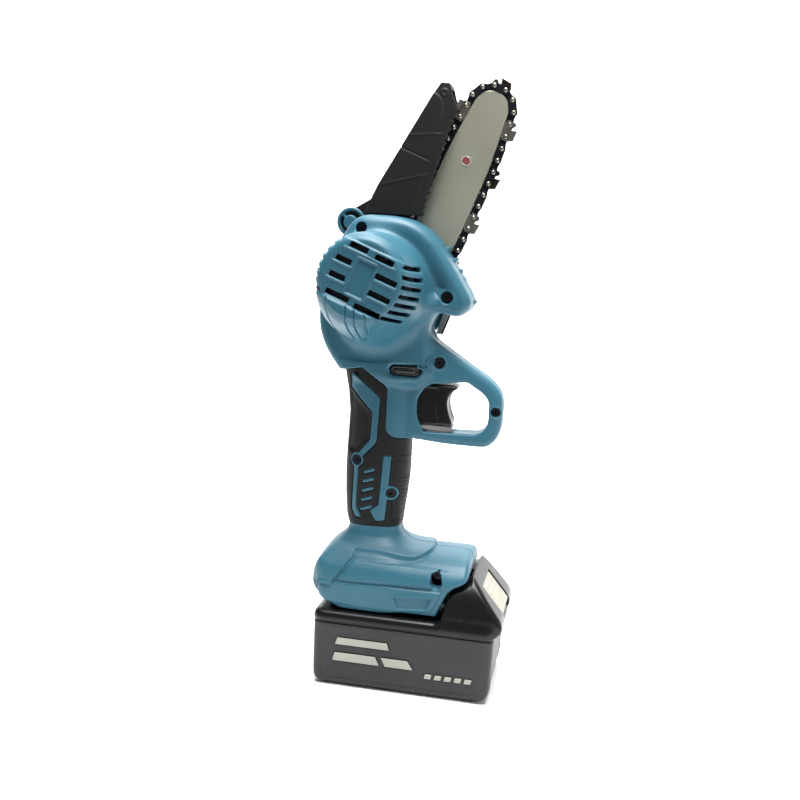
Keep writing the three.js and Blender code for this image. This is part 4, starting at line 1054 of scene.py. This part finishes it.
PATH = rivet_path()
LEGS = np.linalg.norm(np.roll(PATH, -1, axis=0) - PATH, axis=1)
REACHED = np.concatenate([[0], np.cumsum(LEGS)])
DRIVE_LINKS = 23
LINK_PITCH = REACHED[-1] / (2 * DRIVE_LINKS)
FIRST = math.pi * RIVET_RADIUS["drive"] / 2


def on_path(distance):
    distance = distance % REACHED[-1]
    closed = np.vstack([PATH, PATH[:1]])
    return np.array([np.interp(distance, REACHED, closed[:, k]) for k in (0, 1)])


def link_place(distance):
    """Places a link whose x runs along the chain between two rivets and whose z points outwards."""
    a, b = on_path(distance - LINK_PITCH / 2), on_path(distance + LINK_PITCH / 2)
    along = (b - a) / np.linalg.norm(b - a)
    outward = np.array([along[1], -along[0]])
    middle = (a + b) / 2

    def place(x, y, z):
        u, v = middle + along * x + outward * z
        fx, fz = bar_to_frame(u, v)
        return (fx, BAR_Y + y, fz)

    return place


def lobed(half, radius, waist, below):
    """A link outline: two round ends joined by a waist, flat underneath."""
    turns = np.linspace(-0.9, math.pi / 2, 7)
    right = [(half + radius * math.cos(a), radius * math.sin(a)) for a in turns]
    left = [(-x, z) for x, z in reversed(right)]
    top = [(half * 0.35, waist), (-half * 0.35, waist)]
    return [(0, -below), (half, -below)] + right + top + left + [(-half, -below)]


def build_chain():
    half = LINK_PITCH / 2
    drive, straps, cutters, cutters_near, rivets = (Plates() for _ in range(5))
    tang = [(2.7, -3.1), (1.6, -5.5), (-1.3, -5.5), (-2.2, -4.4), (-2.7, -3.1)]
    drive_outline = [
        (half + 2.1, 0), (half + 1.5, 1.6), (half, 2.2), (0, 1.5), (-half, 2.2), (-half - 1.5, 1.6),
        (-half - 2.1, 0), (-half - 1.4, -2.9), *reversed(tang), (half + 1.4, -2.9),
    ]
    tie = lobed(half, 2.3, 2.2, 3.1)
    for k in range(DRIVE_LINKS):
        at = FIRST + 2 * k * LINK_PITCH
        drive.add(drive_outline, -0.52, 0.52, link_place(at), 0.12)
        place = link_place(at + LINK_PITCH)
        side = (0, 1, 0, -1)[(k + 2) % 4] if k < 22 else 0
        for flank in (-1, 1):
            y0, y1 = sorted((flank * 0.6, flank * 1.7))
            if flank != side:
                straps.add(tie, y0, y1, place)
                continue
            cutter_side = [
                (-half - 2.4, -2.0), (-half, -3.1), (half, -3.1), (half + 2.4, -1.8), (half + 2.5, 0.5),
                (half + 1.8, 3.5), (half + 0.4, 4.3), (half - 0.8, 3.5), (half - 1.5, 2.3), (0.6, 2.1),
                (0.2, 3.2), (0.7, 5.0), (-half - 1.6, 4.4), (-half - 2.6, 2.0),
            ]
            # near-side cutters take the lit copy of the cutter colour, and far-side cutters take the
            # painted-shade copy
            plates = cutters_near if flank < 0 else cutters
            plates.add(cutter_side, y0, y1, place)
            edge = [(0.8, 2.2), (1.3, 5.7), (-half - 1.6, 5.0), (-half - 2.0, 2.0)]
            y2, y3 = sorted((flank * 1.5, flank * 2.7))
            plates.add(edge, y2, y3, place, 0.15)
            top = [(1.6, 5.0), (1.3, 5.8), (-half - 1.6, 5.1), (-half - 1.4, 4.3)]
            y4, y5 = sorted((flank * -0.9, flank * 2.6))
            plates.add(top, y4, y5, place, 0.15)
        for end in (-half, half):
            for r, reach, chamfer in ((1.45, 2.25, 0.35), (0.95, 2.6, 0.3)):
                turns = np.linspace(0, 2 * math.pi, 13)[:-1]
                disc = [(end + r * math.cos(a), r * math.sin(a)) for a in turns]
                rivets.add(disc, -reach, reach, place, chamfer)
    for collected, name, look in (
        (drive, "chain_drive_links", LINK), (straps, "chain_tie_straps", LINK),
        (cutters, "chain_cutters_far", CUTTER_FAR_SHADED), (cutters_near, "chain_cutters_near", CUTTER_NEAR_LIT),
        (rivets, "chain_rivets", RIVET),
    ):
        collected.object(name, "bar", look, "dark_steel", ["saw_chain"])


def build_bar():
    points, quads = skin(bar_solid, (-15.4, 12.6, 18), (15.4, 16.2, 141), 0.4)
    x, z = bar_to_frame(points[:, 0], points[:, 2])
    piece = mesh_object("bar_plate", np.stack([x, points[:, 1], z], axis=1), quads, BAR_GREY)
    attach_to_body(piece, "bar")
    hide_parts("guide_bar")
    dot = bar_to_frame(-0.8, BAR_LENGTH - 34.5)
    washer = [(2.62, 12.5), (3.2, 12.55), (3.2, 12.85), (2.62, 12.85)]
    turned("bar_dot_washer", "bar", washer, dot, PALE, "bar_paint")


def as_given(x, y, z):
    return (x, y, z)


def build_side_strip():
    """The pale guide strip beside the chain, below the nose of the head, with a thin black plate along its
    right side that is painted shadow.
    """
    for name, outline, y0, look, slot in (
        ("side_strip", [(4.9, 228.6), (8.0, 228.6), (13.6, 244), (9.4, 243.4)], 10.4, STEEL, "steel"),
        # the thin black plate stands for the shadow line along the strip's right side: it is painted
        # shadow, not a part
        ("side_strip_painted_shadow", [(8.1, 228.6), (9.4, 228.6), (15.0, 244), (13.7, 244)], 10.2, BLACK,
         "black_plastic"),
    ):
        plates = Plates()
        plates.add(outline, y0, 11.9, as_given)
        plates.object(name, "housing", look, slot)


build_bar()
build_chain()
build_side_strip()

# ---------- moulded pieces ----------
# Name, body, field, lowest and highest corner, grid step, look, CAD nodes it stands for, slot.
for row in (
    ("near_shell", "housing", near_shell, (-69, -63, 52.5), (54, 0, 304), 0.6, BLUE,
     ["housing_near"], "housing_blue"),
    ("far_shell", "housing", far_shell, (-69, 0, 52.5), (54, 34.5, 304), 0.8, BLUE,
     ["housing_far"], "housing_blue"),
    ("grip_near_skin", "housing", grip_near, (-53, -18, 102), (-2, 0, 208), 0.5, RUBBER,
     ["grip_near"], "grip_rubber"),
    ("grip_far_skin", "housing", grip_far, (-53, 0, 102), (-2, 18, 208), 0.6, RUBBER,
     ["grip_far"], "grip_rubber"),
    ("guard_shell", "guard", upper_guard, (-63, 5, 288), (12, 23.4, 386), 0.5, GUARD_BLACK,
     ["upper_guard"], "black_plastic"),
    ("guard_ring", "housing", pivot_ring, (-64, 3, 287), (-43, 9.5, 308), 0.4, BLUE,
     ["guard_pivot_ring"], "housing_blue"),
    ("trigger_pad", "trigger", trigger, (-7, -9, 171), (25, 9, 199), 0.45, GLOSS_BLACK,
     ["trigger"], "black_plastic"),
    ("lock_pad", "lock", lock_button, (-19, -18, 203), (1, 14, 210.4), 0.4, BLACK,
     ["lock_button"], "black_plastic"),
    ("battery_lower_shell", "battery", battery_lower, (-58.5, -38, 0), (61, 38, 43), 0.7, CHARCOAL,
     ["battery_lower_case"], "grey_plastic"),
    ("battery_upper_shell", "battery", battery_upper, (-58.5, -38, 43), (65, 38, 81), 0.6, GLOSS_BLACK,
     ["battery_upper_case"], "black_plastic"),
    ("padlock_mark", "housing", padlock_mark, (-2.5, -24, 207), (10, -8, 217), 0.22, BLUE,
     (), "housing_blue"),
    ("battery_marks", "battery", battery_marks, (-45, -38, 12), (49, -34, 35), 0.35, PALE,
     (), "cream_plastic"),
    ("release_pad", "release", release_button, (42, -17.5, 50), (66, 17.5, 77), 0.5, CREAM,
     ["release_button"], "cream_plastic"),
    ("cover_shell", "housing", sprocket_cover, (-59, 11.5, 222), (14, 34.5, 297), 0.7, BLUE,
     ["sprocket_cover"], "housing_blue"),
    ("nut_knob", "nut", bar_nut, (STUD[0] - 11.5, 34, STUD[1] - 11.5),
     (STUD[0] + 11.5, 44, STUD[1] + 11.5), 0.5, BLACK, ["bar_nut"], "black_plastic"),
):
    moulded(*row)
